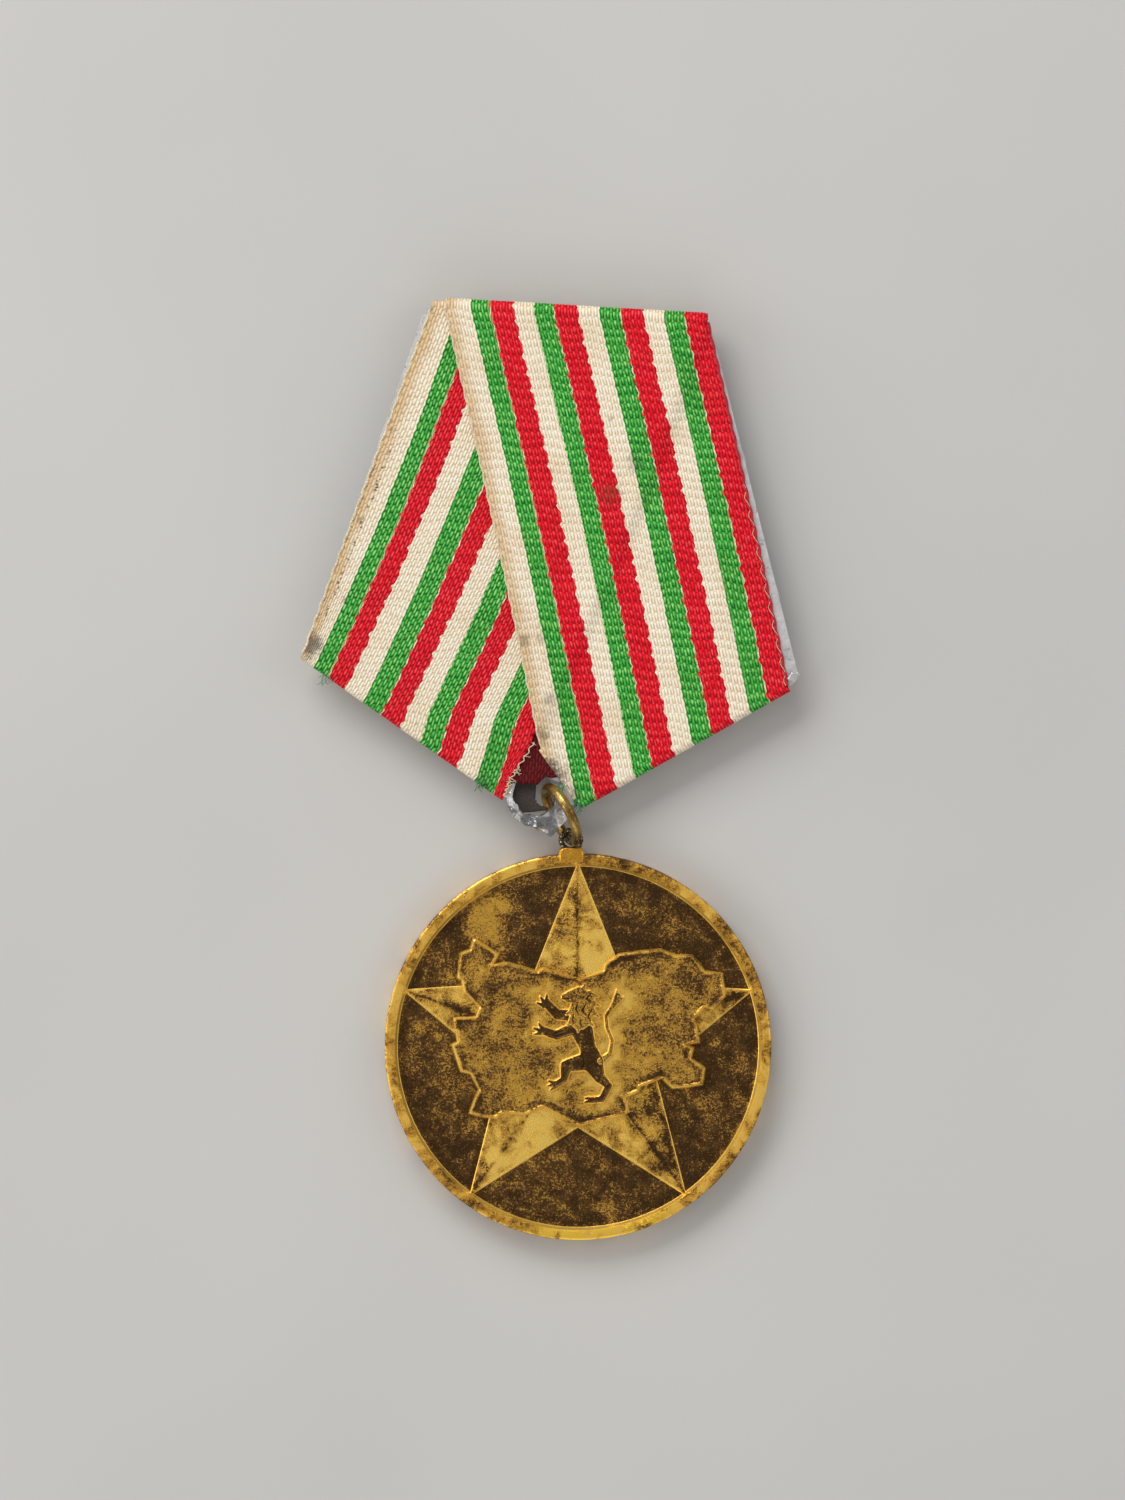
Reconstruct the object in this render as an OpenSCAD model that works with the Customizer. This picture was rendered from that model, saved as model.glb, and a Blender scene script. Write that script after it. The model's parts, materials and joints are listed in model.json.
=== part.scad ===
// Military service medal: a struck round medallion hung by a wire ring from a
// folded five-sided ribbon on an aluminium backing plate with a brooch pin.
// Lies face up: +Z is the face normal, +Y points to the top edge of the ribbon,
// and the lowest pieces stand on the plane z = 0.

/* [Medallion] */
// Diameter of the struck disc
medal_d = 36; // [34:0.5:38]
// Thickness of the disc at its raised rim
medal_t = 2.5; // [2.3:0.1:2.6]
// Width of the raised rim
rim_w = 1.0; // [0.8:0.1:1.3]
// Depth of the field below the rim on the face
face_depth = 0.6; // [0.4:0.05:0.7]
// Depth of the field below the rim on the back
back_depth = 0.25; // [0.15:0.05:0.4]
// Radius of the star's points
star_r = 17.1; // [15.5:0.1:17.1]
// Radius of the corners between the star's points
star_inner_r = 7.45; // [6.8:0.05:8]
// Height of the star's peak above the field
star_h = 0.55; // [0.4:0.05:0.6]
// Height of the plaque above the field
plaque_h = 0.55; // [0.4:0.05:0.6]
// Height of the lion above the plaque
lion_h = 0.3; // [0.2:0.05:0.35]
// Height of the low step between the star and the plaque edge
plaque_step = 0.15; // [0.05:0.05:0.3]

/* [Wire ring and ear] */
// Radius of the ring's wire centreline
ring_major = 2.78; // [2.74:0.01:2.82]
// Radius of the ring's wire
ring_wire = 0.46; // [0.4:0.01:0.46]
// Radius of the ear's wire centreline
ear_major = 0.9; // [0.88:0.01:0.92]
// Radius of the ear's wire
ear_wire = 0.25; // [0.2:0.01:0.26]

/* [Ribbon] */
// Thickness of one layer of ribbon
ribbon_t = 0.45; // [0.35:0.05:0.5]
// Width of the strip folded behind the slanting lower edges
hem_w = 4.5; // [3:0.5:5.5]
// Width of the strip folded behind the top edge
top_flap = 6; // [4:0.5:8]

/* [Backing plate] */
// Thickness of the aluminium plate
plate_t = 0.5; // [0.4:0.05:0.5]
// Width of the plate at its top edge
plate_top_w = 26.4; // [26:0.1:26.8]
// Width of the plate at its lower side corners
plate_max_w = 46.6; // [46.2:0.1:47]
// Radius of the hole in the lug
lug_hole_r = 2.05; // [2.0:0.01:2.1]

/* [Brooch pin] */
// Height of the plate above the surface the medal lies on
stand = 2.6; // [2.6:0.1:2.8]
// Length of the brooch bar
bar_l = 31; // [30:0.5:33]
// Width of the brooch bar
bar_w = 4.4; // [4:0.1:5]
// Thickness of the brooch bar
bar_t = 0.5; // [0.4:0.05:0.5]
// Radius of the pin stem
stem_r = 0.45; // [0.35:0.01:0.45]
// Radius of the hinge rivet
hinge_r = 0.35; // [0.3:0.01:0.36]

/* [Hidden] */
$fn = 96;

// Distance from the working point to the middle of the whole medal
origin_x = 0;
origin_y = -19.875;

// Middle of the medallion, the ear's direction from it, and the star's turn
medal_c = [4.82, -45.1];
ear_c = [3.06, -25.92];
ear_z = 2.0;
ear_turn = 5.24;
star_turn = 3.28;
r_medal = medal_d / 2;
z_field = medal_t - face_depth;

// The ring stands on edge: its long axis points down and to the right, and it leans
ring_c = [2.05, -23.6, ring_major * cos(16) + ring_wire];
ring_dir = 31;
ring_lean = 16;

// Backing plate: levels, outline and the hole in its lug
z_plate = stand;
z_face = stand + plate_t;
lug_hole = [-0.65, -21.9];
plate_outline = [
    [-plate_top_w / 2, 22.9], [plate_top_w / 2, 22.9],
    [plate_max_w / 2, -9.4], [plate_max_w / 2 - 0.5, -10.3],
    [3.7, -22.3], [3.25, -22.9], [2.4, -24.2], [1.35, -25.5], [1.1, -25.7],
    [-0.2, -25.0], [-1.3, -24.75], [-2.3, -24.1], [-2.95, -23.1], [-3.2, -22.3],
    [-plate_max_w / 2 + 0.6, -10.3], [-plate_max_w / 2, -9.5]];

// Ribbon: the two falls that cross on the face
fall_left = [[-12.95, 23.0], [9.5, 23.0], [7.7, 6.0], [-0.9, -17.1], [-2.95, -20.5],
             [-3.3, -22.3], [-3.9, -22.4], [-22.75, -10.75], [-22.95, -10.2]];
fall_right = [[-10.4, 23.0], [12.85, 23.0], [22.4, -9.5], [22.55, -10.8], [4.4, -22.35],
              [3.2, -22.0], [-0.6, -17.3]];
edge_l = [[-22.5, -10.6], [-4.2, -21.95]];
edge_r = [[22.3, -10.75], [4.6, -21.95]];

// Brooch: the bar lies across the plate at this height on the y axis
bar_y = 2;
z_bar = stand - bar_t;
barrel_r = 0.85;
z_pin = barrel_r;
hinge_x = -13.5;
catch_x = 12;
catch_l = 2.5;
rivet_x = 6;
rivet_r = 0.6;

// Plaque: a faceted, irregular shield of land-like outline, upright with the star
plaque = [
    [-9.7, 10.1], [-7.4, 8.6], [-7.9, 7.6], [-6.5, 7.8], [-3.7, 7.0], [-3.2, 7.3],
    [0.3, 6.4], [2.4, 7.2], [2.5, 7.7], [3.8, 8.6], [7.7, 9.0], [9.0, 8.5], [10.6, 8.5],
    [11.8, 7.0], [13.4, 6.8], [13.7, 4.7], [12.5, 3.5], [11.8, 3.7], [10.8, 2.6],
    [11.3, 0.4], [10.0, 0.2], [10.7, -0.1], [10.5, -1.1], [11.8, -2.0], [11.6, -3.5],
    [8.8, -3.8], [7.8, -2.9], [5.8, -3.7], [5.6, -4.2], [4.4, -4.7], [4.8, -6.1],
    [2.8, -6.7], [0.2, -7.4], [-3.3, -5.6], [-4.8, -6.3], [-7.2, -6.2], [-7.5, -6.7],
    [-10.1, -6.2], [-9.2, -4.0], [-10.0, -2.5], [-10.9, -2.3], [-11.7, 0.2],
    [-11.2, 0.4], [-11.6, 2.7], [-9.5, 2.8], [-9.2, 3.6], [-10.6, 5.1], [-10.8, 6.2],
    [-11.2, 6.4], [-10.9, 8.7], [-10.0, 9.0]];

// Lion: plain rearing beast in six simple outlines, upright with the star
lion_body = [
    [-1.5, 4.4], [-1.5, 4.9], [-0.8, 5.3], [0.2, 5.7], [1.0, 5.4], [1.8, 4.3], [1.8, 3.3],
    [1.5, 2.0], [1.6, 0.2], [2.4, -0.9], [2.4, -1.9], [1.4, -2.4], [0.4, -1.8], [0.1, 0.0],
    [-0.8, 1.2], [-1.1, 2.6], [-0.7, 4.0]];
lion_tail = [
    [2.0, -1.0], [2.8, -0.4], [2.95, 0.6], [2.5, 1.8], [2.4, 3.0], [3.0, 4.0], [3.3, 4.9],
    [3.6, 5.2], [4.1, 4.8], [4.0, 4.2], [3.5, 3.8], [2.8, 2.9], [2.9, 2.0], [3.4, 0.7],
    [3.3, -0.7], [2.3, -1.7]];
lion_hind = [
    [1.0, -2.0], [2.3, -1.6], [2.8, -2.9], [3.3, -3.6], [2.6, -4.6], [2.5, -5.2],
    [0.7, -5.2], [0.6, -4.7], [1.9, -4.5], [2.4, -3.6], [1.5, -3.0]];
lion_fore_leg = [
    [1.0, -0.6], [-0.6, -1.0], [-1.8, -1.4], [-1.7, -3.0], [-2.8, -3.2], [-2.7, -3.9],
    [-1.3, -3.6], [-0.9, -2.4], [0.6, -2.3]];
lion_arm_low = [
    [-0.6, 2.2], [-2.0, 1.6], [-3.3, 2.1], [-4.1, 1.8], [-4.1, 1.2], [-3.2, 1.0],
    [-2.0, 0.6], [-0.4, 1.25]];
lion_arm_high = [
    [-0.6, 3.5], [-1.9, 3.5], [-2.6, 4.4], [-3.1, 4.9], [-3.8, 4.2], [-3.1, 3.4],
    [-2.0, 2.5], [-0.7, 2.4]];

module at_origin() {
    translate([-origin_x, -origin_y, 0]) children();
}

module at_medal(turn) {
    translate([medal_c[0], medal_c[1], 0]) rotate([0, 0, turn]) children();
}

module strip(pts, z, h) {
    translate([0, 0, z]) linear_extrude(h) polygon(pts);
}

// A strip folded behind a slanting edge, with the fold's own lip outside the edge
module hem(e, side) {
    d = (e[1] - e[0]) / norm(e[1] - e[0]);
    n = side * [-d[1], d[0]];
    strip([e[0], e[1], e[1] + hem_w * n - 3.5 * d, e[0] + hem_w * n + 1.5 * d],
          z_plate - ribbon_t, ribbon_t);
    strip([e[0], e[1], e[1] - 0.4 * n, e[0] - 0.4 * n],
          z_plate - ribbon_t, 2 * ribbon_t + plate_t);
}

module torus(major, minor) {
    rotate_extrude() translate([major, 0]) circle(r = minor, $fn = 48);
}

module backing_plate() {
    color("silver") at_origin() difference() {
        strip(plate_outline, z_plate, plate_t);
        translate([lug_hole[0], lug_hole[1], z_plate - 1]) cylinder(r = lug_hole_r, h = plate_t + 2);
        for (s = [-1, 1])
            translate([s * rivet_x, bar_y, z_plate - 1]) cylinder(r = rivet_r, h = plate_t + 2);
    }
}

module ribbon() {
    color("firebrick") at_origin() union() {
        strip(fall_left, z_face, ribbon_t);
        strip(fall_right, z_face, 2 * ribbon_t);
        // over the top edge and down behind it
        translate([-12.9, 22.9, z_plate - ribbon_t])
            cube([25.7, 0.45, 2 * ribbon_t + plate_t]);
        translate([-12.9, 22.9 - top_flap, z_plate - ribbon_t])
            cube([25.7, top_flap + 0.45, ribbon_t]);
        hem(edge_l, 1);
        hem(edge_r, -1);
    }
}

module brooch_bar() {
    color("gainsboro") at_origin() difference() {
        union() {
            translate([-bar_l / 2, bar_y - bar_w / 2, z_bar]) cube([bar_l, bar_w, bar_t]);
            // two cheeks that carry the hinge rivet
            for (s = [-1, 1]) {
                translate([hinge_x - barrel_r, bar_y + s * 1.2 - 0.3, z_pin])
                    cube([2 * barrel_r, 0.6, z_bar - z_pin + 0.1]);
                translate([hinge_x, bar_y + s * 1.2 + 0.3, z_pin]) rotate([90, 0, 0])
                    cylinder(r = barrel_r, h = 0.6);
            }
        }
        translate([hinge_x, bar_y + 3, z_pin]) rotate([90, 0, 0]) cylinder(r = hinge_r, h = 6);
        for (s = [-1, 1])
            translate([s * rivet_x, bar_y, z_bar - 1]) cylinder(r = rivet_r, h = bar_t + 2);
    }
}

module brooch_rivets() {
    color("silver") at_origin() for (s = [-1, 1]) translate([s * rivet_x, bar_y, 0]) {
        translate([0, 0, z_bar]) cylinder(r = rivet_r, h = bar_t + plate_t);
        translate([0, 0, z_bar - 0.2]) cylinder(r1 = 0.85, r2 = 1.05, h = 0.2);
    }
}

module pin_catch() {
    color("gainsboro") at_origin() union() {
        difference() {
            translate([catch_x, bar_y, z_pin]) rotate([0, 90, 0]) cylinder(r = barrel_r, h = catch_l);
            translate([catch_x - 1, bar_y, z_pin]) rotate([0, 90, 0]) cylinder(r = 0.56, h = catch_l + 2);
            // mouth of the hook, facing the top edge of the ribbon
            translate([catch_x - 1, bar_y, z_pin - 0.46]) cube([catch_l + 2, 2, 0.98]);
        }
        translate([catch_x, bar_y - 0.8, 2 * barrel_r - 0.1]) cube([catch_l, 1.3, z_bar - 2 * barrel_r + 0.1]);
    }
}

module hinge_rivet() {
    color("silver") at_origin() translate([hinge_x, bar_y, z_pin]) rotate([90, 0, 0]) {
        translate([0, 0, -1.5]) cylinder(r = hinge_r, h = 3);
        for (z = [-1.72, 1.5]) translate([0, 0, z]) cylinder(r = 0.6, h = 0.22);
    }
}

module pin_stem() {
    color("gainsboro") at_origin() translate([hinge_x, bar_y, z_pin]) difference() {
        union() {
            translate([0, 0.8, 0]) rotate([90, 0, 0]) cylinder(r = 0.78, h = 1.6);
            rotate([0, 90, 0]) cylinder(r1 = stem_r + 0.2, r2 = stem_r, h = 3);
            translate([3, 0, 0]) rotate([0, 90, 0]) cylinder(r = stem_r, h = 21.5);
            translate([24.5, 0, 0]) rotate([0, 90, 0]) cylinder(r1 = stem_r, r2 = 0.06, h = 3.2);
        }
        translate([0, 1.5, 0]) rotate([90, 0, 0]) cylinder(r = hinge_r + 0.05, h = 3);
    }
}

module suspension_ring() {
    // turned to stand on edge, then leaned, then aimed down and to the right
    color("goldenrod") at_origin() translate(ring_c) rotate([0, 0, ring_dir])
        rotate([0, ring_lean, 0]) rotate([0, 90, 0]) torus(ring_major, ring_wire);
}

module star() {
    c = [0, 0, z_field + star_h];
    pts = concat([for (i = [0:9]) let (a = 90 + i * 36, r = i % 2 == 0 ? star_r : star_inner_r)
                  [r * cos(a), r * sin(a), z_field]],
                 [for (i = [0:9]) let (a = 90 + i * 36, r = i % 2 == 0 ? star_r : star_inner_r)
                  [r * cos(a), r * sin(a), z_field - 0.4]],
                 [c]);
    polyhedron(points = pts,
        faces = concat([[for (i = [0:9]) i + 10]],
                       [for (i = [0:9]) [i, i + 10, (i + 1) % 10 + 10, (i + 1) % 10]],
                       [for (i = [0:9]) [20, i, (i + 1) % 10]]));
}

module medallion() {
    color("darkgoldenrod") at_origin() difference() {
      union() {
        // disc with a raised rim on both faces
        translate([medal_c[0], medal_c[1], 0]) rotate_extrude($fn = 180) polygon([
            [0, back_depth], [r_medal - rim_w - 0.15, back_depth], [r_medal - rim_w, 0],
            [r_medal - 0.15, 0], [r_medal, 0.15], [r_medal, medal_t - 0.15],
            [r_medal - 0.15, medal_t], [r_medal - rim_w, medal_t],
            [r_medal - rim_w - 0.15, z_field], [0, z_field]]);
        at_medal(star_turn) {
            star();
            translate([0, 0, z_field - 0.3]) linear_extrude(plaque_h + 0.3) polygon(plaque);
            for (p = [lion_body, lion_tail, lion_hind, lion_fore_leg, lion_arm_low, lion_arm_high])
                translate([0, 0, z_field + plaque_h - 0.2]) linear_extrude(lion_h + 0.2) polygon(p);
        }
        // low shoulder on the rim that carries the ear
        at_medal(ear_turn) translate([-1.12, r_medal - 0.9, 0.8]) cube([2.24, 1.42, 1.45]);
      }
      // seat for the soldered ear
      translate([ear_c[0], ear_c[1], ear_z]) torus(ear_major, ear_wire);
    }
}

module medal_ear() {
    color("peru") at_origin() translate([ear_c[0], ear_c[1], ear_z]) torus(ear_major, ear_wire);
}

backing_plate();
ribbon();
brooch_bar();
brooch_rivets();
pin_catch();
hinge_rivet();
pin_stem();
suspension_ring();
medallion();
medal_ear();
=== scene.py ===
import json
import math

import bmesh
import bpy
import numpy as np
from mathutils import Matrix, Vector, noise as mnoise
from mathutils.geometry import delaunay_2d_cdt

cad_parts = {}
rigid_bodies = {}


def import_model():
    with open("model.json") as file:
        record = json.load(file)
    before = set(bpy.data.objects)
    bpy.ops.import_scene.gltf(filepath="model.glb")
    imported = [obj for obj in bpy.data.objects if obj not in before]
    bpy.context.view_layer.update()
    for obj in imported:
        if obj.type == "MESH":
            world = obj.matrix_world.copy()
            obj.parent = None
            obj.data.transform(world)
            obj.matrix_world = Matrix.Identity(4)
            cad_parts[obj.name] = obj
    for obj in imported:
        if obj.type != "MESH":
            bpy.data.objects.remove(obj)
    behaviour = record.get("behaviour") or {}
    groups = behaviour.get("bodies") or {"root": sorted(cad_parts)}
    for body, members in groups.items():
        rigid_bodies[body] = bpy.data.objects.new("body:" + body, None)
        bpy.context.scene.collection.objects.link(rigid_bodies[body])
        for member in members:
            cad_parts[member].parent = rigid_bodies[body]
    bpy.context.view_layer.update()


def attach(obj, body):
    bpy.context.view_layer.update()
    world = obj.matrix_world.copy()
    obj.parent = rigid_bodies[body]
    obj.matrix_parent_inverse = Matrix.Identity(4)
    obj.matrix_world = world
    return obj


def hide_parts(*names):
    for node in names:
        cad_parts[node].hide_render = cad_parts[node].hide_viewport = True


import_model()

# Lengths below are millimetres in the row frame: the working point of part.scad, moved by its origin shift.
OY = 19.875


def S(x, y):
    return (x, y + OY)


# ---------------------------------------------------------------- node helpers
def lin(r, g, b):
    def f(c):
        c = c / 255.0
        return c / 12.92 if c <= 0.04045 else ((c + 0.055) / 1.055) ** 2.4
    return (f(r), f(g), f(b), 1.0)


class Mat:
    def __init__(self, name):
        self.m = bpy.data.materials.new(name)
        self.m.use_nodes = True
        self.t = self.m.node_tree
        self.b = self.t.nodes["Principled BSDF"]
        tc = self.t.nodes.new("ShaderNodeTexCoord")
        v = self.t.nodes.new("ShaderNodeVectorMath")
        v.operation = "SCALE"
        v.inputs["Scale"].default_value = 1000.0
        self.t.links.new(tc.outputs["Object"], v.inputs[0])
        self.mm = v.outputs[0]

    def put(self, sock, x):
        if isinstance(x, bpy.types.NodeSocket):
            self.t.links.new(x, sock)
        elif isinstance(x, (tuple, list)) and len(x) != len(sock.default_value):
            sock.default_value = tuple(x)[: len(sock.default_value)]
        else:
            sock.default_value = x

    def math(self, op, a, b=0.0, c=0.0, clamp=False):
        n = self.t.nodes.new("ShaderNodeMath")
        n.operation = op
        n.use_clamp = clamp
        for i, x in enumerate((a, b, c)):
            self.put(n.inputs[i], x)
        return n.outputs[0]

    def add(self, *xs):
        r = xs[0]
        for x in xs[1:]:
            r = self.math("ADD", r, x)
        return r

    def mul(self, a, b):
        return self.math("MULTIPLY", a, b)

    def vec(self, op, a, b):
        n = self.t.nodes.new("ShaderNodeVectorMath")
        n.operation = op
        self.put(n.inputs[0], a)
        self.put(n.inputs[1], b)
        return n.outputs["Value"] if op in ("DISTANCE", "DOT_PRODUCT", "LENGTH") else n.outputs[0]

    def noise(self, scale, detail=3.0, rough=0.5, vec=None, distort=0.0):
        n = self.t.nodes.new("ShaderNodeTexNoise")
        self.put(n.inputs["Vector"], self.mm if vec is None else vec)
        n.inputs["Scale"].default_value = scale
        n.inputs["Detail"].default_value = detail
        n.inputs["Roughness"].default_value = rough
        n.inputs["Distortion"].default_value = distort
        return n.outputs["Fac"]

    def smooth(self, x, lo, hi, a=0.0, b=1.0, kind="SMOOTHSTEP"):
        n = self.t.nodes.new("ShaderNodeMapRange")
        n.interpolation_type = kind
        self.put(n.inputs["Value"], x)
        for k, v in (("From Min", lo), ("From Max", hi), ("To Min", a), ("To Max", b)):
            n.inputs[k].default_value = v
        return n.outputs["Result"]

    def mix(self, fac, a, b, blend="MIX"):
        n = self.t.nodes.new("ShaderNodeMix")
        n.data_type = "RGBA"
        n.blend_type = blend
        self.put(n.inputs[0], fac)
        self.put(n.inputs[6], a)
        self.put(n.inputs[7], b)
        return n.outputs[2]

    def mixf(self, fac, a, b):
        n = self.t.nodes.new("ShaderNodeMix")
        n.data_type = "FLOAT"
        self.put(n.inputs[0], fac)
        self.put(n.inputs[2], a)
        self.put(n.inputs[3], b)
        return n.outputs[0]

    def ramp(self, fac, stops, interp="LINEAR"):
        n = self.t.nodes.new("ShaderNodeValToRGB")
        cr = n.color_ramp
        cr.interpolation = interp
        while len(cr.elements) < len(stops):
            cr.elements.new(1.0)
        for e, (p, c) in zip(cr.elements, stops):
            e.position = p
            e.color = c if len(c) == 4 else (*c, 1.0)
        self.put(n.inputs[0], fac)
        return n.outputs[0]

    def attr(self, name):
        n = self.t.nodes.new("ShaderNodeAttribute")
        n.attribute_name = name
        return n.outputs["Fac"]

    def uv(self):
        n = self.t.nodes.new("ShaderNodeUVMap")
        n.uv_map = "UVMap"
        s = self.t.nodes.new("ShaderNodeSeparateXYZ")
        self.t.links.new(n.outputs[0], s.inputs[0])
        return self.mul(s.outputs[0], 100.0), self.mul(s.outputs[1], 100.0)

    def xyz(self, vec=None):
        s = self.t.nodes.new("ShaderNodeSeparateXYZ")
        self.put(s.inputs[0], self.mm if vec is None else vec)
        return s.outputs

    def join(self, x, y, z=0.0):
        n = self.t.nodes.new("ShaderNodeCombineXYZ")
        for i, v in enumerate((x, y, z)):
            self.put(n.inputs[i], v)
        return n.outputs[0]

    def bump(self, height, dist_mm, strength=1.0, normal=None):
        n = self.t.nodes.new("ShaderNodeBump")
        n.inputs["Strength"].default_value = strength
        n.inputs["Distance"].default_value = dist_mm * 0.001
        self.put(n.inputs["Height"], height)
        if normal is not None:
            self.put(n.inputs["Normal"], normal)
        return n.outputs[0]

    def set(self, **k):
        for name, v in k.items():
            self.put(self.b.inputs[name.replace("_", " ")], v)
        return self.m


# ---------------------------------------------------------------- mesh helpers
def mesh_piece(name, verts, faces, body, mats, slot=None, uvs=None, attrs=None, smooth=True,
               face_mats=None):
    me = bpy.data.meshes.new(name)
    me.from_pydata([(x * 0.001, y * 0.001, z * 0.001) for x, y, z in verts], [], faces)
    if uvs is not None:
        layer = me.uv_layers.new(name="UVMap")
        vi = np.zeros(len(me.loops), dtype=np.int32)
        me.loops.foreach_get("vertex_index", vi)
        layer.data.foreach_set("uv", np.asarray(uvs, dtype=np.float32)[vi].ravel() * 0.01)
    for k, vals in (attrs or {}).items():
        a = me.attributes.new(k, "FLOAT", "POINT")
        a.data.foreach_set("value", np.asarray(vals, dtype=np.float32))
    for m in mats:
        me.materials.append(m)
    if face_mats is not None:
        me.polygons.foreach_set("material_index", np.asarray(face_mats, dtype=np.int32))
    me.validate()
    if smooth:
        me.polygons.foreach_set("use_smooth", [True] * len(me.polygons))
    me.update()
    o = bpy.data.objects.new(name, me)
    bpy.context.scene.collection.objects.link(o)
    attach(o, body)
    return o


def modifier(o, kind, **k):
    m = o.modifiers.new(kind.lower(), kind)
    for a, v in k.items():
        setattr(m, a, v)
    return m


def grid_faces(nu, nv, wrap_u=False, wrap_v=False, base=0):
    f = []
    for i in range(nu - (0 if wrap_u else 1)):
        for j in range(nv - (0 if wrap_v else 1)):
            a, b = i * nv, ((i + 1) % nu) * nv
            c = (j + 1) % nv
            f.append((base + a + j, base + b + j, base + b + c, base + a + c))
    return f


def tube(path, radius, sides=8, closed=False):
    """A swept tube of varying radius along points."""
    p = [Vector(q) for q in path]
    n = len(p)
    verts, up = [], Vector((0.13, 0.27, 0.95)).normalized()
    for i in range(n):
        a = p[(i - 1) % n] if closed or i else p[0]
        b = p[(i + 1) % n] if closed or i < n - 1 else p[-1]
        t = (b - a).normalized()
        s = t.cross(up)
        if s.length < 1e-3:
            s = t.cross(Vector((1, 0, 0)))
        s.normalize()
        w = s.cross(t)
        r = radius(i / max(1, n - 1)) if callable(radius) else radius
        for k in range(sides):
            q = 2 * math.pi * k / sides
            verts.append(tuple(p[i] + r * (math.cos(q) * s + math.sin(q) * w)))
    faces = grid_faces(n, sides, wrap_u=closed, wrap_v=True)
    if not closed:
        faces.append(tuple(range(sides - 1, -1, -1)))
        faces.append(tuple(range((n - 1) * sides, n * sides)))
    return verts, faces


def joined(parts):
    verts, faces = [], []
    for v, f in parts:
        k = len(verts)
        verts += list(v)
        faces += [tuple(i + k for i in q) for q in f]
    return verts, faces


def fbm(x, y, scale, seed=0.0):
    return mnoise.fractal(Vector((x * scale, y * scale, seed)), 1.0, 2.0, 3)


def sstep(x, a, b):
    t = np.clip((x - a) / (b - a), 0.0, 1.0)
    return t * t * (3 - 2 * t)

# ---------------------------------------------------------------- materials
def gilt(name, bias=0.0, amount=1.0, rough=0.34, use=(), worn=0.0, tone=None, contrast=1.0, grit=4.2, glow=0.0):
    """Gilt brass under a speckled dark patina. bias moves how densely the patina has formed."""
    m = Mat(name)
    big = m.add(m.noise(0.15, 3, 0.55, distort=0.7), -0.5)
    mid = m.add(m.noise(0.62, 5, 0.66, distort=0.5), -0.5)
    fine = m.noise(grit, 5, 0.74, distort=0.25)
    speck = m.noise(8.0, 3, 0.65)
    d = m.add(m.mul(big, 1.0 * contrast), m.mul(mid, 1.45 * contrast), 0.5 + bias)
    # this attribute thickens the patina: patina in hollows, and also painted shade on the star's facets and the rim's
    # outer wall
    if "dark" in use:
        patch = m.smooth(m.noise(0.55, 3, 0.6), 0.30, 0.62, 0.45, 1.0)
        d = m.add(d, m.mul(m.mul(m.attr("dark"), patch), 0.62))
    # this attribute thins the patina: cleaner smears on the field, and painted highlights on the star, the plaque's lip
    # and the lion's outline
    if "clean_and_highlight" in use:
        d = m.add(d, m.mul(m.attr("clean_and_highlight"), -0.30))
    # crisp specks whose density follows d, with a few larger flakes
    cover = m.smooth(m.add(m.mul(d, 0.60), m.mul(m.add(fine, -0.5), 1.75), m.mul(m.add(speck, -0.5), 0.7)), 0.30, 0.37)
    flake = m.mul(m.smooth(m.noise(2.1, 3, 0.55, distort=0.5), 0.58, 0.63), m.smooth(d, 0.2, 0.6, 0.2, 0.9))
    cover = m.math("MAXIMUM", cover, m.mul(flake, 0.7))
    gold = m.ramp(m.add(d, m.mul(m.add(speck, -0.5), 0.75)), [(0.0, lin(255, 212, 100)), (0.22, lin(246, 194, 82)),
                  (0.42, lin(226, 174, 72)), (0.62, lin(192, 145, 66)), (0.85, lin(154, 115, 56)), (1.0, lin(128, 95, 49))])
    dusk = m.ramp(m.add(m.mul(d, 0.6), m.mul(m.noise(1.3, 4, 0.65, distort=0.6), 0.9), -0.28),
                  [(0.0, lin(160, 118, 56)), (0.3, lin(128, 92, 45)), (0.55, lin(98, 69, 35)), (0.8, lin(70, 49, 25))])
    if tone is not None:
        gold = m.mix(0.5, gold, m.mix(1.0, gold, tone, "MULTIPLY"))
    cover = m.mul(cover, amount)
    col = m.mix(cover, gold, dusk)
    # crisp pits over the gold and small bright grains left in the patina
    pit = m.mul(m.smooth(m.noise(5.6, 2, 0.5), 0.60, 0.64), m.smooth(d, 0.05, 0.5, 0.12, 0.8))
    grain = m.mul(m.smooth(m.noise(6.4, 2, 0.5, distort=0.4), 0.62, 0.66), m.smooth(d, 0.35, 0.95, 0.75, 0.35))
    col = m.mix(m.mul(pit, 0.7), col, lin(74, 52, 28))
    col = m.mix(m.mul(m.mul(grain, cover), 0.8), col, lin(206, 156, 70))
    if worn > 0.0:
        w = m.mul(m.smooth(m.attr("worn"), 0.15, 0.7), m.smooth(m.noise(1.1, 4, 0.65), 0.40, 0.5))
        col = m.mix(m.mul(w, worn), col, lin(255, 208, 72))
    scratch = m.noise(1.0, 2, 0.5, vec=m.vec("MULTIPLY", m.mm, (9.0, 0.8, 1.0)))
    h = m.add(m.mul(cover, 0.5), m.mul(fine, 0.4), m.mul(speck, 0.3), m.mul(scratch, 0.15))
    rgh = m.add(m.mixf(cover, rough, rough + 0.14), m.mul(m.add(speck, -0.5), 0.3))
    # lacquer still lies over the cleanest gold and scatters a little light
    metal = m.mixf(cover, 1.0, 0.88)
    if glow:
        metal = m.add(metal, m.mul(m.smooth(d, 0.10, 0.50, 1.0, 0.0), -glow))
    m.set(Base_Color=col, Metallic=metal, Roughness=rgh,
          Normal=m.bump(h, 0.04, 0.45))
    return m.m


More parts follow.
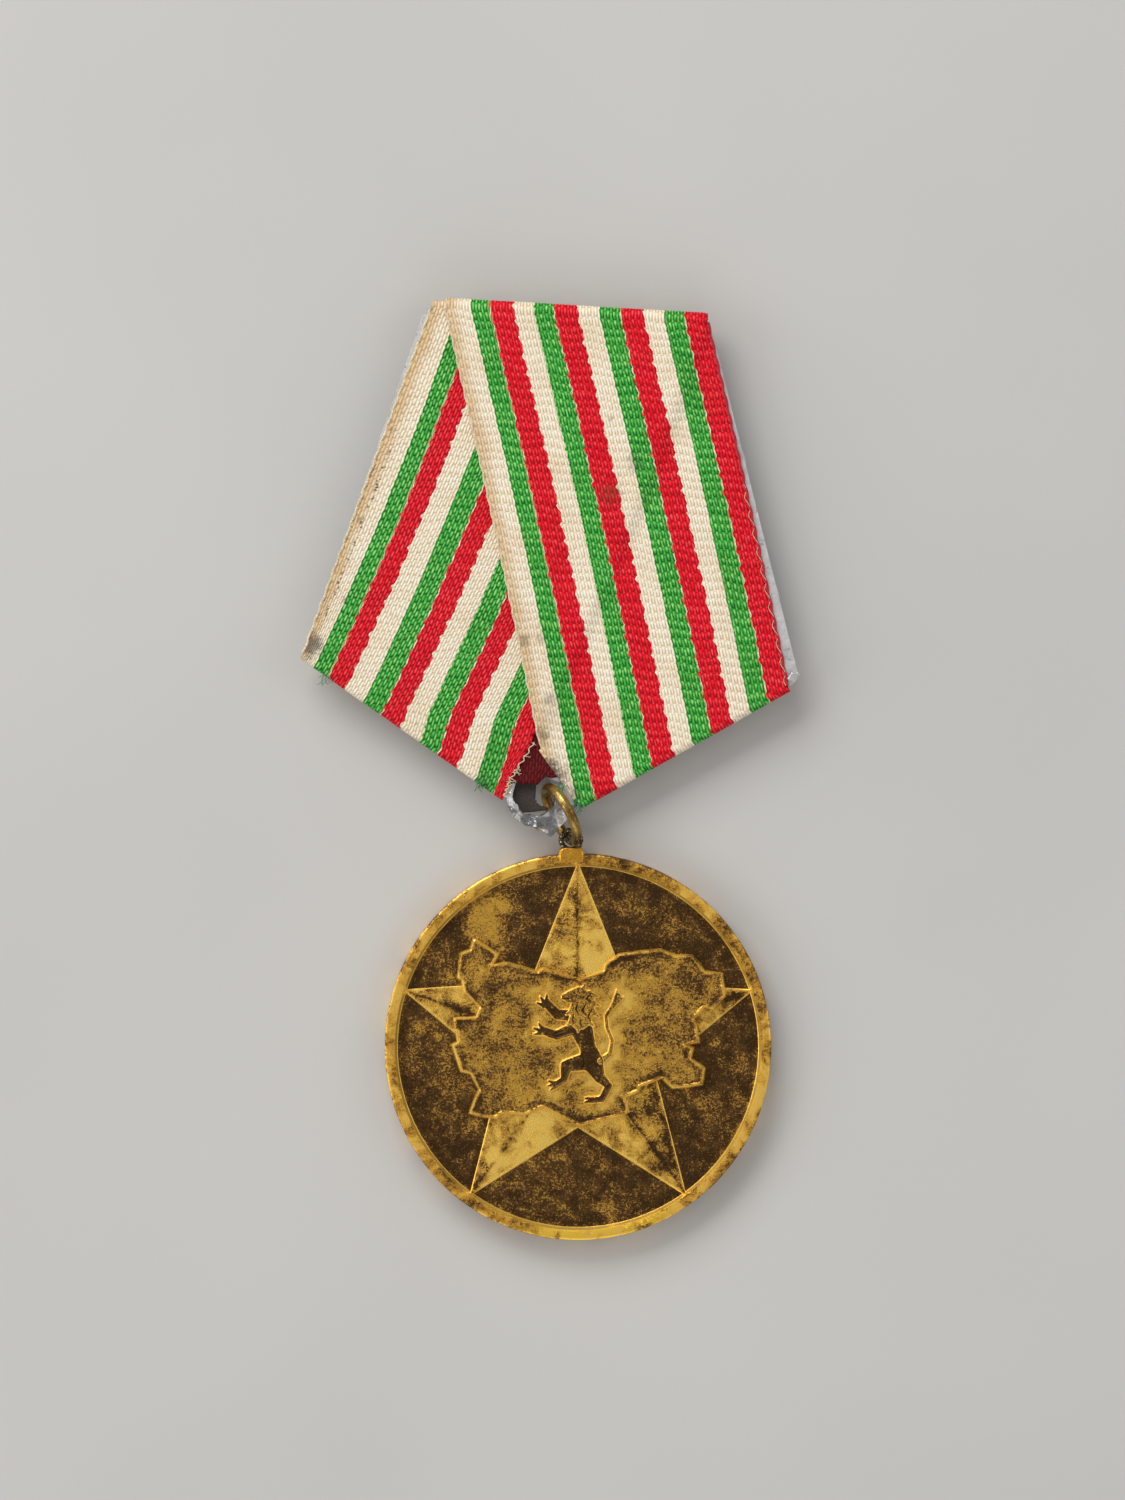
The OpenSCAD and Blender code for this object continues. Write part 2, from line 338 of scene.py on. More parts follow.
def brass_wire():
    m = Mat("brass_wire")
    stain = m.smooth(m.add(m.noise(0.7, 3, 0.6), m.mul(m.noise(4.0, 3, 0.6), 0.5)), 0.66, 0.98)
    grime = m.smooth(m.attr("grime"), 0.25, 0.8)
    base = m.mix(m.smooth(m.noise(1.4, 3, 0.6), 0.38, 0.62), lin(166, 136, 74), lin(204, 176, 106))
    base = m.mix(stain, base, lin(116, 84, 42))
    base = m.mix(m.mul(grime, m.smooth(m.noise(3.0, 3, 0.7), 0.36, 0.52)), base, lin(52, 44, 34))
    spark = m.mul(grime, m.smooth(m.noise(6.5, 2, 0.5), 0.60, 0.66))
    base = m.mix(spark, base, lin(225, 222, 205))
    along = m.noise(1.0, 2, 0.6, vec=m.vec("MULTIPLY", m.mm, (3.0, 3.0, 3.0)))
    m.set(Base_Color=base, Metallic=m.mixf(grime, 1.0, 0.8),
          Roughness=m.add(0.28, m.mul(stain, 0.2), m.mul(grime, 0.18)),
          Normal=m.bump(m.add(m.mul(along, 0.6), m.mul(m.noise(9.0, 2, 0.6), 0.5)), 0.05, 0.5))
    return m.m


def aluminium(name, metal=0.82, rough=0.30, dent=0.12):
    m = Mat(name)
    s1 = m.noise(1.0, 3, 0.6, vec=m.vec("MULTIPLY", m.mm, (0.5, 6.0, 1.0)))
    s2 = m.noise(1.0, 3, 0.6, vec=m.vec("MULTIPLY", m.mm, (7.0, 0.9, 1.0)), distort=0.4)
    blotch = m.noise(0.6, 4, 0.6)
    dents = m.noise(1.7, 2, 0.55)
    base = m.mix(m.smooth(blotch, 0.35, 0.7), lin(222, 222, 222), lin(246, 246, 246))
    dirt = m.mul(m.smooth(m.add(m.noise(1.1, 4, 0.7), m.mul(m.noise(6.0, 2, 0.5), 0.3)), 0.74, 0.92), 0.8)
    if metal == 1.0:
        dirt = m.mul(dirt, 0.35)
    base = m.mix(dirt, base, lin(92, 90, 88))
    h = m.add(m.mul(s1, 0.25), m.mul(s2, 0.25), m.mul(dents, 0.9))
    # the torn lug is creased: painted shade darkens the creases, and broad patches of painted shade stand for dull
    # folds between bright ones
    crease_shade = m.smooth(m.add(m.attr("crease_shade"), m.mul(m.add(m.noise(3.0, 3, 0.6), -0.5), 0.6)), 0.45, 0.95)
    fold_shade = m.smooth(m.noise(0.42, 2, 0.5, distort=0.9), 0.50, 0.60)
    if metal == 1.0:
        base = m.mix(m.mul(fold_shade, 0.75), base, lin(112, 114, 122))
    base = m.mix(m.mul(crease_shade, 0.5), base, lin(84, 84, 90))
    m.set(Base_Color=base, Metallic=metal, Roughness=m.add(rough, m.mul(s2, 0.3), m.mul(dirt, 0.3)),
          Normal=m.bump(h, dent, 0.5))
    return m.m


def steel():
    m = Mat("brooch_steel")
    s = m.noise(1.0, 3, 0.6, vec=m.vec("MULTIPLY", m.mm, (0.7, 9.0, 9.0)))
    rust = m.smooth(m.add(m.noise(0.5, 4, 0.7), m.mul(m.noise(5.0, 2, 0.6), 0.35)), 0.74, 0.92)
    base = m.mix(m.smooth(s, 0.35, 0.65), lin(166, 166, 164), lin(196, 196, 196))
    base = m.mix(rust, base, lin(112, 82, 56))
    m.set(Base_Color=base, Metallic=m.mixf(rust, 1.0, 0.4), Roughness=m.add(0.26, m.mul(rust, 0.4), m.mul(s, 0.12)),
          Normal=m.bump(m.add(m.mul(s, 0.5), m.mul(rust, 0.5)), 0.04, 0.5))
    return m.m


# each stripe colour in the gaps of the weave (painted shade), on its floats, and on their bright backs (painted
# highlight)
WHITE = (lin(226, 202, 164), lin(254, 242, 218), lin(255, 254, 244))
GREEN = (lin(10, 100, 26), lin(62, 174, 62), lin(176, 244, 146))
RED = (lin(160, 0, 22), lin(238, 2, 32), lin(255, 92, 100))


def ribbon_silk(name, marks, tint=1.0, seed=0.0, spots=(), specks=None, edge_tan=0.0, stag=0.5, rib_shade=0.22):
    """marks are the stripe edges across the ribbon, in mm of the u coordinate."""
    m = Mat(name)
    u, v = m.uv()
    wob = m.mul(m.add(m.noise(0.3, 2, 0.5, vec=m.join(u, v, seed)), -0.5), 0.24)
    step = m.mul(m.add(m.noise(1.0, 1, 0.5, vec=m.join(m.mul(u, 0.2), m.mul(v, 1.25), seed + 3)), -0.5), 0.16)
    tooth = m.mul(m.math("ABSOLUTE", m.math("SINE", m.mul(v, math.pi / 0.8))), 0.09)
    ud = m.add(u, wob, step, tooth)
    span = 26.0
    order = [WHITE, GREEN, RED]
    # the red stripes swell into the white ones in slow scallops
    slow = m.mul(m.noise(0.35, 2, 0.5, vec=m.join(m.mul(u, 0.3), v, seed + 7)), 3.0)
    lobe = m.math("POWER", m.math("ABSOLUTE", m.math("SINE", m.add(m.mul(v, math.pi / 1.75), slow))), 0.7)
    uw = m.math("SUBTRACT", ud, m.mul(m.add(lobe, -0.6), 0.26))
    isred = [(0.0, (0, 0, 0, 1))] + [(marks[k] / span, (1, 1, 1, 1) if k % 3 == 2 else (0, 0, 0, 1)) for k in range(1, 12)]
    redm = m.ramp(m.math("DIVIDE", uw, span), isred, "CONSTANT")
    back = m.ramp(m.math("DIVIDE", ud, span), isred, "CONSTANT")
    three = []
    for level in range(3):
        stops = [(0.0, order[0][level])] + [(marks[k] / span, order[k % 3][level]) for k in range(1, 12)]
        c = m.ramp(m.math("DIVIDE", ud, span), stops, "CONSTANT")
        c = m.mix(m.math("SUBTRACT", back, redm, clamp=True), c, order[0][level])
        c = m.mix(redm, c, order[2][level])
        three.append(c)
    # warp floats: slim ends with painted highlights, staggered from pick to pick
    wavy = m.add(v, m.mul(m.math("SINE", m.add(m.mul(u, 1.5), m.mul(v, 0.35))), 0.10),
                 m.mul(m.noise(0.45, 2, 0.5, vec=m.join(u, v, seed + 11)), 0.8))
    cell = m.math("DIVIDE", wavy, 0.80)
    col = m.math("DIVIDE", m.add(u, m.mul(m.noise(0.8, 1, 0.5, vec=m.join(u, v, seed + 13)), 0.18)), 0.285)
    odd = m.math("MODULO", m.math("FLOOR", col), 2.0)
    fv = m.math("FRACT", m.add(cell, m.mul(odd, stag)))
    fu = m.math("FRACT", col)
    gv = m.math("SUBTRACT", 1.0, m.math("POWER", m.math("ABSOLUTE", m.add(m.mul(fv, 2.0), -1.0)), 2.6))
    gu = m.math("SUBTRACT", 1.0, m.mul(m.math("POWER", m.math("ABSOLUTE", m.add(m.mul(fu, 2.0), -1.0)), 2.0), 0.92))
    grain = m.math("MAXIMUM", m.mul(gv, gu), 0.0, clamp=True)
    rib = m.add(m.mul(m.math("COSINE", m.mul(wavy, 2 * math.pi / 0.80)), 0.5), 0.5)
    row = m.noise(1.0, 2, 0.6, vec=m.join(m.mul(u, 0.22), m.mul(wavy, 1.4), seed + 15))
    thread = m.noise(1.0, 2, 0.6, vec=m.join(m.mul(u, 5.5), m.mul(v, 0.8), seed + 17))
    height = m.add(m.mul(grain, 0.9), m.mul(rib, 0.15), m.mul(thread, 0.25))
    # the rib term also paints shade across each rib into the colour
    lift = m.add(grain, m.mul(m.add(thread, -0.5), 0.5), m.mul(m.add(row, -0.5), 0.7), m.mul(m.add(rib, -0.5), rib_shade))
    base = m.mix(m.smooth(lift, 0.02, 0.55), three[0], three[1])
    # painted highlight on the backs of the floats
    tip = m.mul(m.smooth(lift, 0.60, 1.0), m.smooth(thread, 0.3, 0.62))
    base = m.mix(m.mul(tip, 0.85), base, three[2])
    # thin pale ends between green and red
    pale = m.ramp(m.math("DIVIDE", ud, span), [(0.0, (0, 0, 0, 1))] + [q for k in (2, 5, 8, 11) for q in (((marks[k] - 0.09) / span, (1, 1, 1, 1)), ((marks[k] + 0.05) / span, (0, 0, 0, 1)))], "CONSTANT")
    base = m.mix(m.mul(pale, m.smooth(thread, 0.4, 0.6, 0.0, 0.42)), base, lin(228, 214, 150))
    # age: broad yellowing in rows and blotches, and small brown marks on the pale stripes
    age = m.smooth(m.add(m.noise(0.22, 4, 0.6, vec=m.join(u, v, seed + 23)), m.mul(m.add(row, -0.5), 0.5)), 0.42, 0.78)
    base = m.mix(m.mul(age, 0.30), base, m.mix(1.0, base, lin(222, 188, 134), "MULTIPLY"))
    if edge_tan:
        near = m.smooth(m.add(u, m.mul(m.add(m.noise(0.5, 3, 0.6, vec=m.join(u, v, seed + 31)), -0.5), 1.2)), 1.5, 0.1, 0.0, 1.0)
        base = m.mix(m.mul(near, edge_tan), base, m.mix(1.0, base, lin(214, 178, 116), "MULTIPLY"))
    spot = m.smooth(m.add(m.noise(1.3, 3, 0.6, vec=m.join(u, v, seed + 29)), m.mul(m.noise(6.0, 2, 0.6, vec=m.join(u, v, seed)), 0.25)), 0.80, 0.90)
    base = m.mix(m.mul(spot, 0.5), base, lin(120, 84, 44))
    if specks is not None:
        u0, v0, v1 = specks
        for uu, amt in ((u0, 0.8), (0.12, 0.55)):
            line = m.smooth(m.math("ABSOLUTE", m.add(u, -uu, m.mul(m.add(m.noise(1.2, 2, 0.5, vec=m.join(u, v, seed + 2)), -0.5), 0.5))), 0.20, 0.09, 0.0, 1.0)
            dots = m.smooth(m.noise(2.6, 2, 0.6, vec=m.join(m.mul(u, 0.8), v, seed + 37)), 0.53, 0.60)
            part = m.mul(m.smooth(v, v0, v0 + 4.0), m.smooth(v, v1, v1 + 3.0, 1.0, 0.0))
            base = m.mix(m.mul(m.mul(line, dots), m.mul(part, amt)), base, lin(70, 50, 30))
    for (sx, sy, sr, colr, amt) in spots:
        d = m.vec("DISTANCE", m.vec("MULTIPLY", m.mm, (1.0, 1.0, 0.0)), (sx, sy, 0.0))
        d = m.add(d, m.mul(m.add(m.noise(1.6, 5, 0.75), -0.5), sr * 2.2))
        base = m.mix(m.smooth(d, sr * 0.25, sr, amt, 0.0), base, m.mix(0.75, base, colr))
    if tint != 1.0:
        base = m.mix(1.0, base, (tint, tint, tint, 1.0), "MULTIPLY")
    m.set(Base_Color=base, Roughness=m.add(0.62, m.mul(grain, -0.16)), Sheen_Weight=0.02,
          Sheen_Roughness=0.4, Specular_IOR_Level=0.18, Normal=m.bump(height, 0.10, 0.85))
    return m.m


def plain_thread(name, col):
    m = Mat(name)
    twist = m.noise(1.0, 2, 0.5, vec=m.vec("MULTIPLY", m.mm, (6.0, 6.0, 6.0)))
    m.set(Base_Color=m.mix(m.smooth(twist, 0.35, 0.65), tuple(0.6 * c for c in col[:3]) + (1.0,), col),
          Roughness=0.8, Sheen_Weight=0.3, Normal=m.bump(twist, 0.06, 0.6))
    return m.m

# ---------------------------------------------------------------- plane geometry
def seg_dist(px, py, a, b):
    ax, ay = a
    bx, by = b
    dx, dy = bx - ax, by - ay
    t = np.clip(((px - ax) * dx + (py - ay) * dy) / max(1e-12, dx * dx + dy * dy), 0, 1)
    return np.hypot(px - ax - t * dx, py - ay - t * dy), t


def loop_dist(px, py, loop):
    d = np.full(px.shape, 1e9)
    for a, b in zip(loop, loop[1:] + loop[:1]):
        d = np.minimum(d, seg_dist(px, py, a, b)[0])
    return d


def inside(px, py, loop):
    r = np.zeros(px.shape, bool)
    for (ax, ay), (bx, by) in zip(loop, loop[1:] + loop[:1]):
        c = (ay > py) != (by > py)
        with np.errstate(divide="ignore", invalid="ignore"):
            x = ax + (py - ay) * (bx - ax) / (by - ay)
        r ^= c & (px < x)
    return r


def densify(loop, step):
    out = []
    for a, b in zip(loop, loop[1:] + loop[:1]):
        n = max(1, int(round(math.hypot(b[0] - a[0], b[1] - a[1]) / step)))
        out += [(a[0] + (b[0] - a[0]) * i / n, a[1] + (b[1] - a[1]) * i / n) for i in range(n)]
    return out


def offset_points(loop, step, dist, keep=0.9):
    """Points at one distance inside (dist > 0) a loop."""
    pts = []
    for a, b in zip(loop, loop[1:] + loop[:1]):
        L = math.hypot(b[0] - a[0], b[1] - a[1])
        if L < 1e-6:
            continue
        nx, ny = -(b[1] - a[1]) / L, (b[0] - a[0]) / L
        for i in range(max(1, int(L / step))):
            t = (i + 0.5) / max(1, int(L / step))
            x, y = a[0] + (b[0] - a[0]) * t, a[1] + (b[1] - a[1]) * t
            pts += [(x + nx * dist, y + ny * dist), (x - nx * dist, y - ny * dist)]
    pts = np.array(pts)
    ok = inside(pts[:, 0], pts[:, 1], loop) & (loop_dist(pts[:, 0], pts[:, 1], loop) > dist * keep)
    return [tuple(p) for p in pts[ok]]


def triangulate(loops, free):
    """Triangles inside the first loop and outside the others, through every free point."""
    pts, edges = [], []
    for lp in loops:
        k = len(pts)
        pts += lp
        edges += [(k + i, k + (i + 1) % len(lp)) for i in range(len(lp))]
    pts += free
    v, _, f, _, _, _ = delaunay_2d_cdt([Vector(p) for p in pts], edges, [], 0, 1e-5)
    v = np.array([tuple(p) for p in v])
    f = np.array([t for t in f if len(t) == 3])
    c = v[f].mean(axis=1)
    ok = inside(c[:, 0], c[:, 1], loops[0])
    for lp in loops[1:]:
        ok &= ~inside(c[:, 0], c[:, 1], lp)
    f = f[ok]
    a = v[f]
    cw = (a[:, 1, 0] - a[:, 0, 0]) * (a[:, 2, 1] - a[:, 0, 1]) - (a[:, 1, 1] - a[:, 0, 1]) * (a[:, 2, 0] - a[:, 0, 0]) < 0
    f[cw] = f[cw][:, ::-1]
    return v, [tuple(int(i) for i in t) for t in f]


# ---------------------------------------------------------------- medallion
MX, MY = S(4.82, -45.1)
TURN = math.radians(3.28)
CT, ST = math.cos(TURN), math.sin(TURN)
Z_FIELD, Z_RIM = 1.9, 2.5


def medal_xy(x, y):
    return MX + CT * x - ST * y, MY + ST * x + CT * y


gold_field = gilt("gilt_field", bias=0.29, use=("dark", "clean_and_highlight"), rough=0.36)
gold_rim = gilt("gilt_rim", bias=-0.21, amount=0.9, use=("dark", "worn"), worn=0.95, tone=lin(255, 240, 214), rough=0.32, contrast=1.7, glow=0.4)
# painted highlight: a brighter, thinly patinated copy of the gilt for the bevels of rim, star and plaque
gold_bevel = gilt("gilt_bevel", bias=-0.45, amount=0.5, rough=0.24, contrast=0.7, glow=0.45)
gold_star = gilt("gilt_star", bias=-0.22, use=("dark", "clean_and_highlight"), rough=0.27, contrast=1.5, glow=0.5)
gold_plaque = gilt("gilt_plaque", bias=0.05, use=("dark", "clean_and_highlight"), rough=0.31, glow=0.35)
gold_lion = gilt("gilt_lion", bias=-0.12, use=("dark", "clean_and_highlight"), rough=0.28, contrast=0.5, glow=0.45)
gold_tab = gilt("gilt_tab", bias=-0.26, amount=0.6, rough=0.36, tone=lin(255, 228, 150), contrast=0.8)

prof = [(0.0, 0.25), (6.0, 0.25), (12.0, 0.25), (16.8, 0.25), (16.86, 0.23), (17.0, 0.02), (17.06, 0.0), (17.8, 0.0),
        (17.93, 0.04), (18.0, 0.14), (18.0, 0.9), (18.0, 1.7), (17.99, 2.3), (17.95, 2.42), (17.84, 2.485), (17.7, 2.5),
        (17.12, 2.5), (17.05, 2.475), (16.98, 2.36), (16.84, 1.95), (16.78, 1.9), (16.3, 1.9), (15.6, 1.9), (14.8, 1.9),
        (14.0, 1.9), (13.0, 1.9), (12.0, 1.9), (11.0, 1.9), (10.0, 1.9), (9.0, 1.9), (8.0, 1.9), (6.0, 1.9), (2.0, 1.9), (0.0, 1.9)]
SMEARS = [(-8.6, 12.0, 3.6, 1.25), (-12.6, 7.4, 2.6, 0.8), (5.6, 14.3, 1.6, 0.7), (9.5, 11.0, 2.0, 0.35), (-12.0, -6.5, 3.0, 0.3),
          (13.6, -8.0, 2.5, 0.25)]
NS = 540
verts, dark, worn, clean_and_highlight = [], [], [], []
for i in range(NS):
    a = 2 * math.pi * i / NS
    ca, sa = math.cos(a), math.sin(a)
    down = math.degrees(math.atan2(ca, -sa))
    for r, z in prof:
        nick = 0.0
        if r > 17.6:
            nick = 0.045 * fbm(ca * 18, sa * 18, 0.9, 2.0) + 0.05 * min(0.0, fbm(ca * 18, sa * 18, 2.6, 9.0) + 0.25)
        rr = r + min(0.0, nick)
        zz = z + (0.012 * fbm(ca * r, sa * r, 0.5, 5.0) if z > 2.3 else 0.0)
        x, y = medal_xy(rr * ca, rr * sa)
        verts.append((x, y, max(0.0, zz)))
        low = math.exp(-((down - 8) / 22.0) ** 2) if z > 1.0 else 0.0
        worn.append(low if r > 16.9 else 0.0)
        # painted shade on the rim's outer wall; the band just inside the rim and the field get patina
        dark.append(0.35 if (17.9 < r and z < 2.45) or (r < 16.78 and r > 16.2) else (0.12 if z > 1.0 and r < 16 else 0.0))
        cl = 0.0
        if 1.85 < z < 1.95:
            for sx, sy, sr, amt in SMEARS:
                q = math.hypot(r * ca - sx, r * sa - sy) + 0.9 * fbm(r * ca, r * sa, 0.5, 8.0)
                cl += amt * max(0.0, 1 - (q / sr) ** 2)
        clean_and_highlight.append(cl)
NP = len(prof)
faces = grid_faces(NS, NP, wrap_u=True)
mats = []
for i in range(NS):
    for j in range(NP - 1):
        r0, z0 = prof[j]
        r1, z1 = prof[j + 1]
        if min(r0, r1) >= 17.0:
            mats.append(1)
        elif z0 > 1.85 and 16.73 <= min(r0, r1) < 17.05 and abs(z1 - z0) > 0.02:
            mats.append(2)
        else:
            mats.append(0)
disc = mesh_piece("medal_disc", verts, faces, "medal", [gold_field, gold_rim, gold_bevel], "gilt_brass",
                  attrs={"dark": dark, "worn": worn, "clean_and_highlight": clean_and_highlight}, face_mats=mats)
bm = bmesh.new()
bm.from_mesh(disc.data)
bmesh.ops.remove_doubles(bm, verts=bm.verts, dist=2e-6)
bmesh.ops.recalc_face_normals(bm, faces=bm.faces)
bm.to_mesh(disc.data)
bm.free()
disc.data.set_sharp_from_angle(angle=math.radians(28))
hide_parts("medallion")

# outline of the raised plaque, medal-centred and upright with the star
PLAQUE = [
    (-9.7, 10.1), (-8.6, 9.4), (-7.4, 8.6), (-7.9, 7.65), (-7.3, 7.75), (-6.5, 7.8), (-5.1, 7.4), (-3.7, 7.0), (-3.2, 7.3),
    (-1.4, 6.75), (0.3, 6.4), (2.35, 7.1), (2.45, 7.65), (3.8, 8.6), (5.6, 8.85), (7.7, 9.05), (9.0, 8.5), (10.6, 8.5),
    (11.2, 7.8), (11.8, 7.0), (13.4, 6.8), (13.6, 5.6), (13.7, 4.7), (12.55, 3.5), (11.8, 3.7), (10.8, 2.6), (11.1, 1.6),
    (11.3, 0.4), (10.0, 0.2), (10.75, -0.1), (10.5, -1.1), (11.8, -2.0), (11.6, -3.5), (10.1, -3.75), (8.8, -3.85),
    (7.8, -2.9), (6.9, -3.3), (5.8, -3.7), (5.6, -4.2), (4.4, -4.7), (4.8, -6.1), (3.8, -6.45), (2.8, -6.7), (1.5, -7.0),
    (0.2, -7.4), (-1.5, -6.5), (-3.3, -5.6), (-4.8, -6.3), (-7.2, -6.2), (-7.5, -6.7), (-8.9, -6.5), (-10.1, -6.2),
    (-9.7, -5.1), (-9.2, -4.0), (-10.0, -2.5), (-10.9, -2.3), (-11.3, -1.1), (-11.7, 0.2), (-11.2, 0.4), (-11.4, 1.6),
    (-11.6, 2.7), (-9.5, 2.8), (-9.2, 3.6), (-9.9, 4.4), (-10.6, 5.1), (-10.8, 6.2), (-11.2, 6.4), (-11.05, 7.6),
    (-10.9, 8.7), (-10.0, 9.05)]


def sink_under_plaque(points, limit):
    """Lowers points (medal-local x, y, z) that lie inside the plaque's outline to the limit."""
    q = np.array(points)
    near = sstep(loop_dist(q[:, 0], q[:, 1], PLAQUE), 0.05, 0.7) * inside(q[:, 0], q[:, 1], PLAQUE)
    q[:, 2] -= near * np.maximum(0.0, q[:, 2] - limit)
    return q


# five-pointed star: ten flat facets that meet in ridges, with a thin chamfer round the outline
RO, RI, ZC, ZE = 17.02, 7.45, 2.45, 1.965
verts, faces, dark, clean_and_highlight, fm = [], [], [], [], []
APO = RO * RI * math.sin(math.radians(36)) / math.sqrt(RO * RO + RI * RI - 2 * RO * RI * math.cos(math.radians(36)))
RIDGE = RI * math.sin(math.radians(36))
# painted light and shade: each facet of the star gets its own darkness, as if lit from one side. Facets also darken
# along each arm's ridge.
tone = {(0, 0): 0.34, (0, 1): 0.10, (1, 0): 0.28, (1, 1): 0.16, (2, 0): -0.02, (2, 1): 0.30, (3, 0): 0.70, (3, 1): -0.02, (4, 0): 0.08, (4, 1): 0.26}
out = []
for i in range(10):
    a = math.radians(90 + 36 * i)
    r = RO if i % 2 == 0 else RI
    out.append((r * math.cos(a), r * math.sin(a)))
for arm in range(5):
    tip = out[2 * arm]
    for side in (0, 1):
        inner = out[(2 * arm + (1 if side == 0 else -1)) % 10]
        N = 26
        idx = {}
        k0 = len(verts)
        # barycentric grid over the facet: tip, inner corner, middle
        for p in range(N + 1):
            for q in range(N + 1 - p):
                wi, wc = p / N, q / N
                wt = 1 - wi - wc
                x = wt * tip[0] + wi * inner[0]
                y = wt * tip[1] + wi * inner[1]
                z = (wt + wi) * ZE + wc * ZC
                ridge, edge = wi * RIDGE, wc * APO
                n = 0.006 * fbm(x, y, 0.7, 4.0)
                idx[(p, q)] = len(verts)
                verts.append((x, y, z + n))
                along = math.hypot(x, y)
                near = math.exp(-(ridge / (0.26 + 0.12 * math.sin(along * 1.1 + arm))) ** 2) * (0.9 if side == 0 else 0.75)
                if arm == 0:
                    near *= 1.0 if along < 12.5 else 0.35
                    near -= (0.75 if side else 0.3) * max(0.0, 1 - ((along - 8.0) / 3.2) ** 2) * min(1.0, ridge / 0.8)
                dark.append(near * (1.0 if edge > 0.1 else 0.3) + tone[(arm, side)])
                # painted highlight: a bright line along the outline, and the listed facets brighter towards the star's
                # middle
                low = {(0, 0): 0.5, (0, 1): 0.95, (2, 0): 0.45, (3, 1): 0.45}.get((arm, side), 0.15)
                clean_and_highlight.append(max(math.exp(-(edge / 0.13) ** 2) * 0.9, low * max(0.0, min(1.0, (11.5 - along) / 4.0))))
        for p in range(N):
            for q in range(N - p):
                t = (idx[(p, q)], idx[(p + 1, q)], idx[(p, q + 1)])
                faces.append(t if side == 0 else t[::-1])
                if q + 1 <= N - p - 1:
                    t = (idx[(p + 1, q)], idx[(p + 1, q + 1)], idx[(p, q + 1)])
                    faces.append(t if side == 0 else t[::-1])
fm = [0] * len(faces)
verts = [(*medal_xy(x, y), z) for x, y, z in sink_under_plaque(verts, 2.15)]
for i in range(10):
    p, q = out[i], out[(i + 1) % 10]
    L = math.hypot(q[0] - p[0], q[1] - p[1])
    nx, ny = (q[1] - p[1]) / L, -(q[0] - p[0]) / L
    k = len(verts)
    for (x, y), o_, z in ((p, 0, ZE), (q, 0, ZE), (q, 0.10, 1.885), (p, 0.10, 1.885)):
        X, Y = medal_xy(x + nx * o_, y + ny * o_)
        verts.append((X, Y, z))
        dark.append(0.0)
        clean_and_highlight.append(1.0)
    faces.append((k, k + 3, k + 2, k + 1))
    fm.append(1)
star = mesh_piece("medal_star", verts, faces, "medal", [gold_star, gold_bevel], "gilt_brass",
                  attrs={"dark": dark, "clean_and_highlight": clean_and_highlight}, smooth=False, face_mats=fm)

# ---------------------------------------------------------------- plaque and lion
# a plain rampant lion on textbook lines: each limb is a chain of (x, y, radius)
LION = {
    'TORSO': [[(0.1, 2.5, 1.15), (0.5, 1.2, 1.0), (0.9, 0.0, 0.78), (1.35, -1.4, 1.05)]],
    'MANE': [[(0.5, 4.3, 1.05), (0.4, 3.4, 1.2), (0.2, 2.6, 0.95)],
        [(1.1, 4.9, 0.4), (1.9, 4.7, 0.08)], [(1.2, 4.2, 0.4), (2.05, 3.8, 0.08)],
        [(1.2, 3.4, 0.4), (1.95, 2.8, 0.08)], [(0.8, 2.6, 0.4), (1.5, 1.9, 0.08)],
        [(-0.4, 3.5, 0.4), (-1.1, 3.0, 0.08)], [(-0.4, 2.7, 0.4), (-1.0, 2.0, 0.08)],
        [(0.1, 2.2, 0.4), (0.0, 1.4, 0.08)]],
    'HEAD': [[(0.1, 4.95, 0.7), (-0.7, 4.8, 0.5), (-1.25, 4.65, 0.34)],
        [(-0.2, 4.5, 0.4), (-0.9, 4.35, 0.26)],
        [(0.5, 5.5, 0.24), (0.68, 5.85, 0.1)]],
    'ARMHI': [[(-0.4, 2.95, 0.6), (-1.9, 3.0, 0.5), (-2.85, 4.0, 0.44)],
        [(-2.9, 4.2, 0.28), (-2.9, 4.9, 0.12)], [(-3.1, 4.1, 0.28), (-3.5, 4.65, 0.12)],
        [(-3.15, 3.85, 0.26), (-3.8, 4.1, 0.12)]],
    'ARMLO': [[(-0.4, 1.75, 0.6), (-2.0, 1.1, 0.46), (-3.15, 1.5, 0.42)],
        [(-3.3, 1.7, 0.26), (-3.65, 2.2, 0.12)], [(-3.45, 1.5, 0.26), (-4.1, 1.75, 0.12)],
        [(-3.4, 1.3, 0.25), (-4.1, 1.2, 0.12)]],
    'HINDR': [[(1.4, -1.5, 1.0), (2.0, -2.8, 0.58), (2.85, -3.6, 0.36), (2.3, -4.7, 0.34)],
        [(2.15, -4.85, 0.34), (1.3, -4.95, 0.28)],
        [(1.3, -4.85, 0.24), (0.7, -4.75, 0.12)], [(1.3, -5.0, 0.24), (0.65, -5.12, 0.12)]],
    'HINDL': [[(0.9, -1.3, 0.9), (-1.1, -1.75, 0.58), (-1.3, -3.0, 0.36), (-2.0, -3.45, 0.34)],
        [(-2.15, -3.35, 0.25), (-2.75, -3.15, 0.12)], [(-2.2, -3.5, 0.25), (-2.8, -3.6, 0.12)],
        [(-2.1, -3.65, 0.23), (-2.55, -4.0, 0.12)]],
    'TAIL': [[(2.1, -1.3, 0.32), (3.0, -0.6, 0.24), (3.2, 0.6, 0.2), (2.7, 1.8, 0.2), (2.6, 2.9, 0.2), (3.3, 3.9, 0.24)],
        [(3.3, 3.9, 0.24), (3.7, 4.55, 0.42), (3.6, 5.3, 0.08)], [(3.6, 4.2, 0.28), (4.25, 4.65, 0.08)]],
}
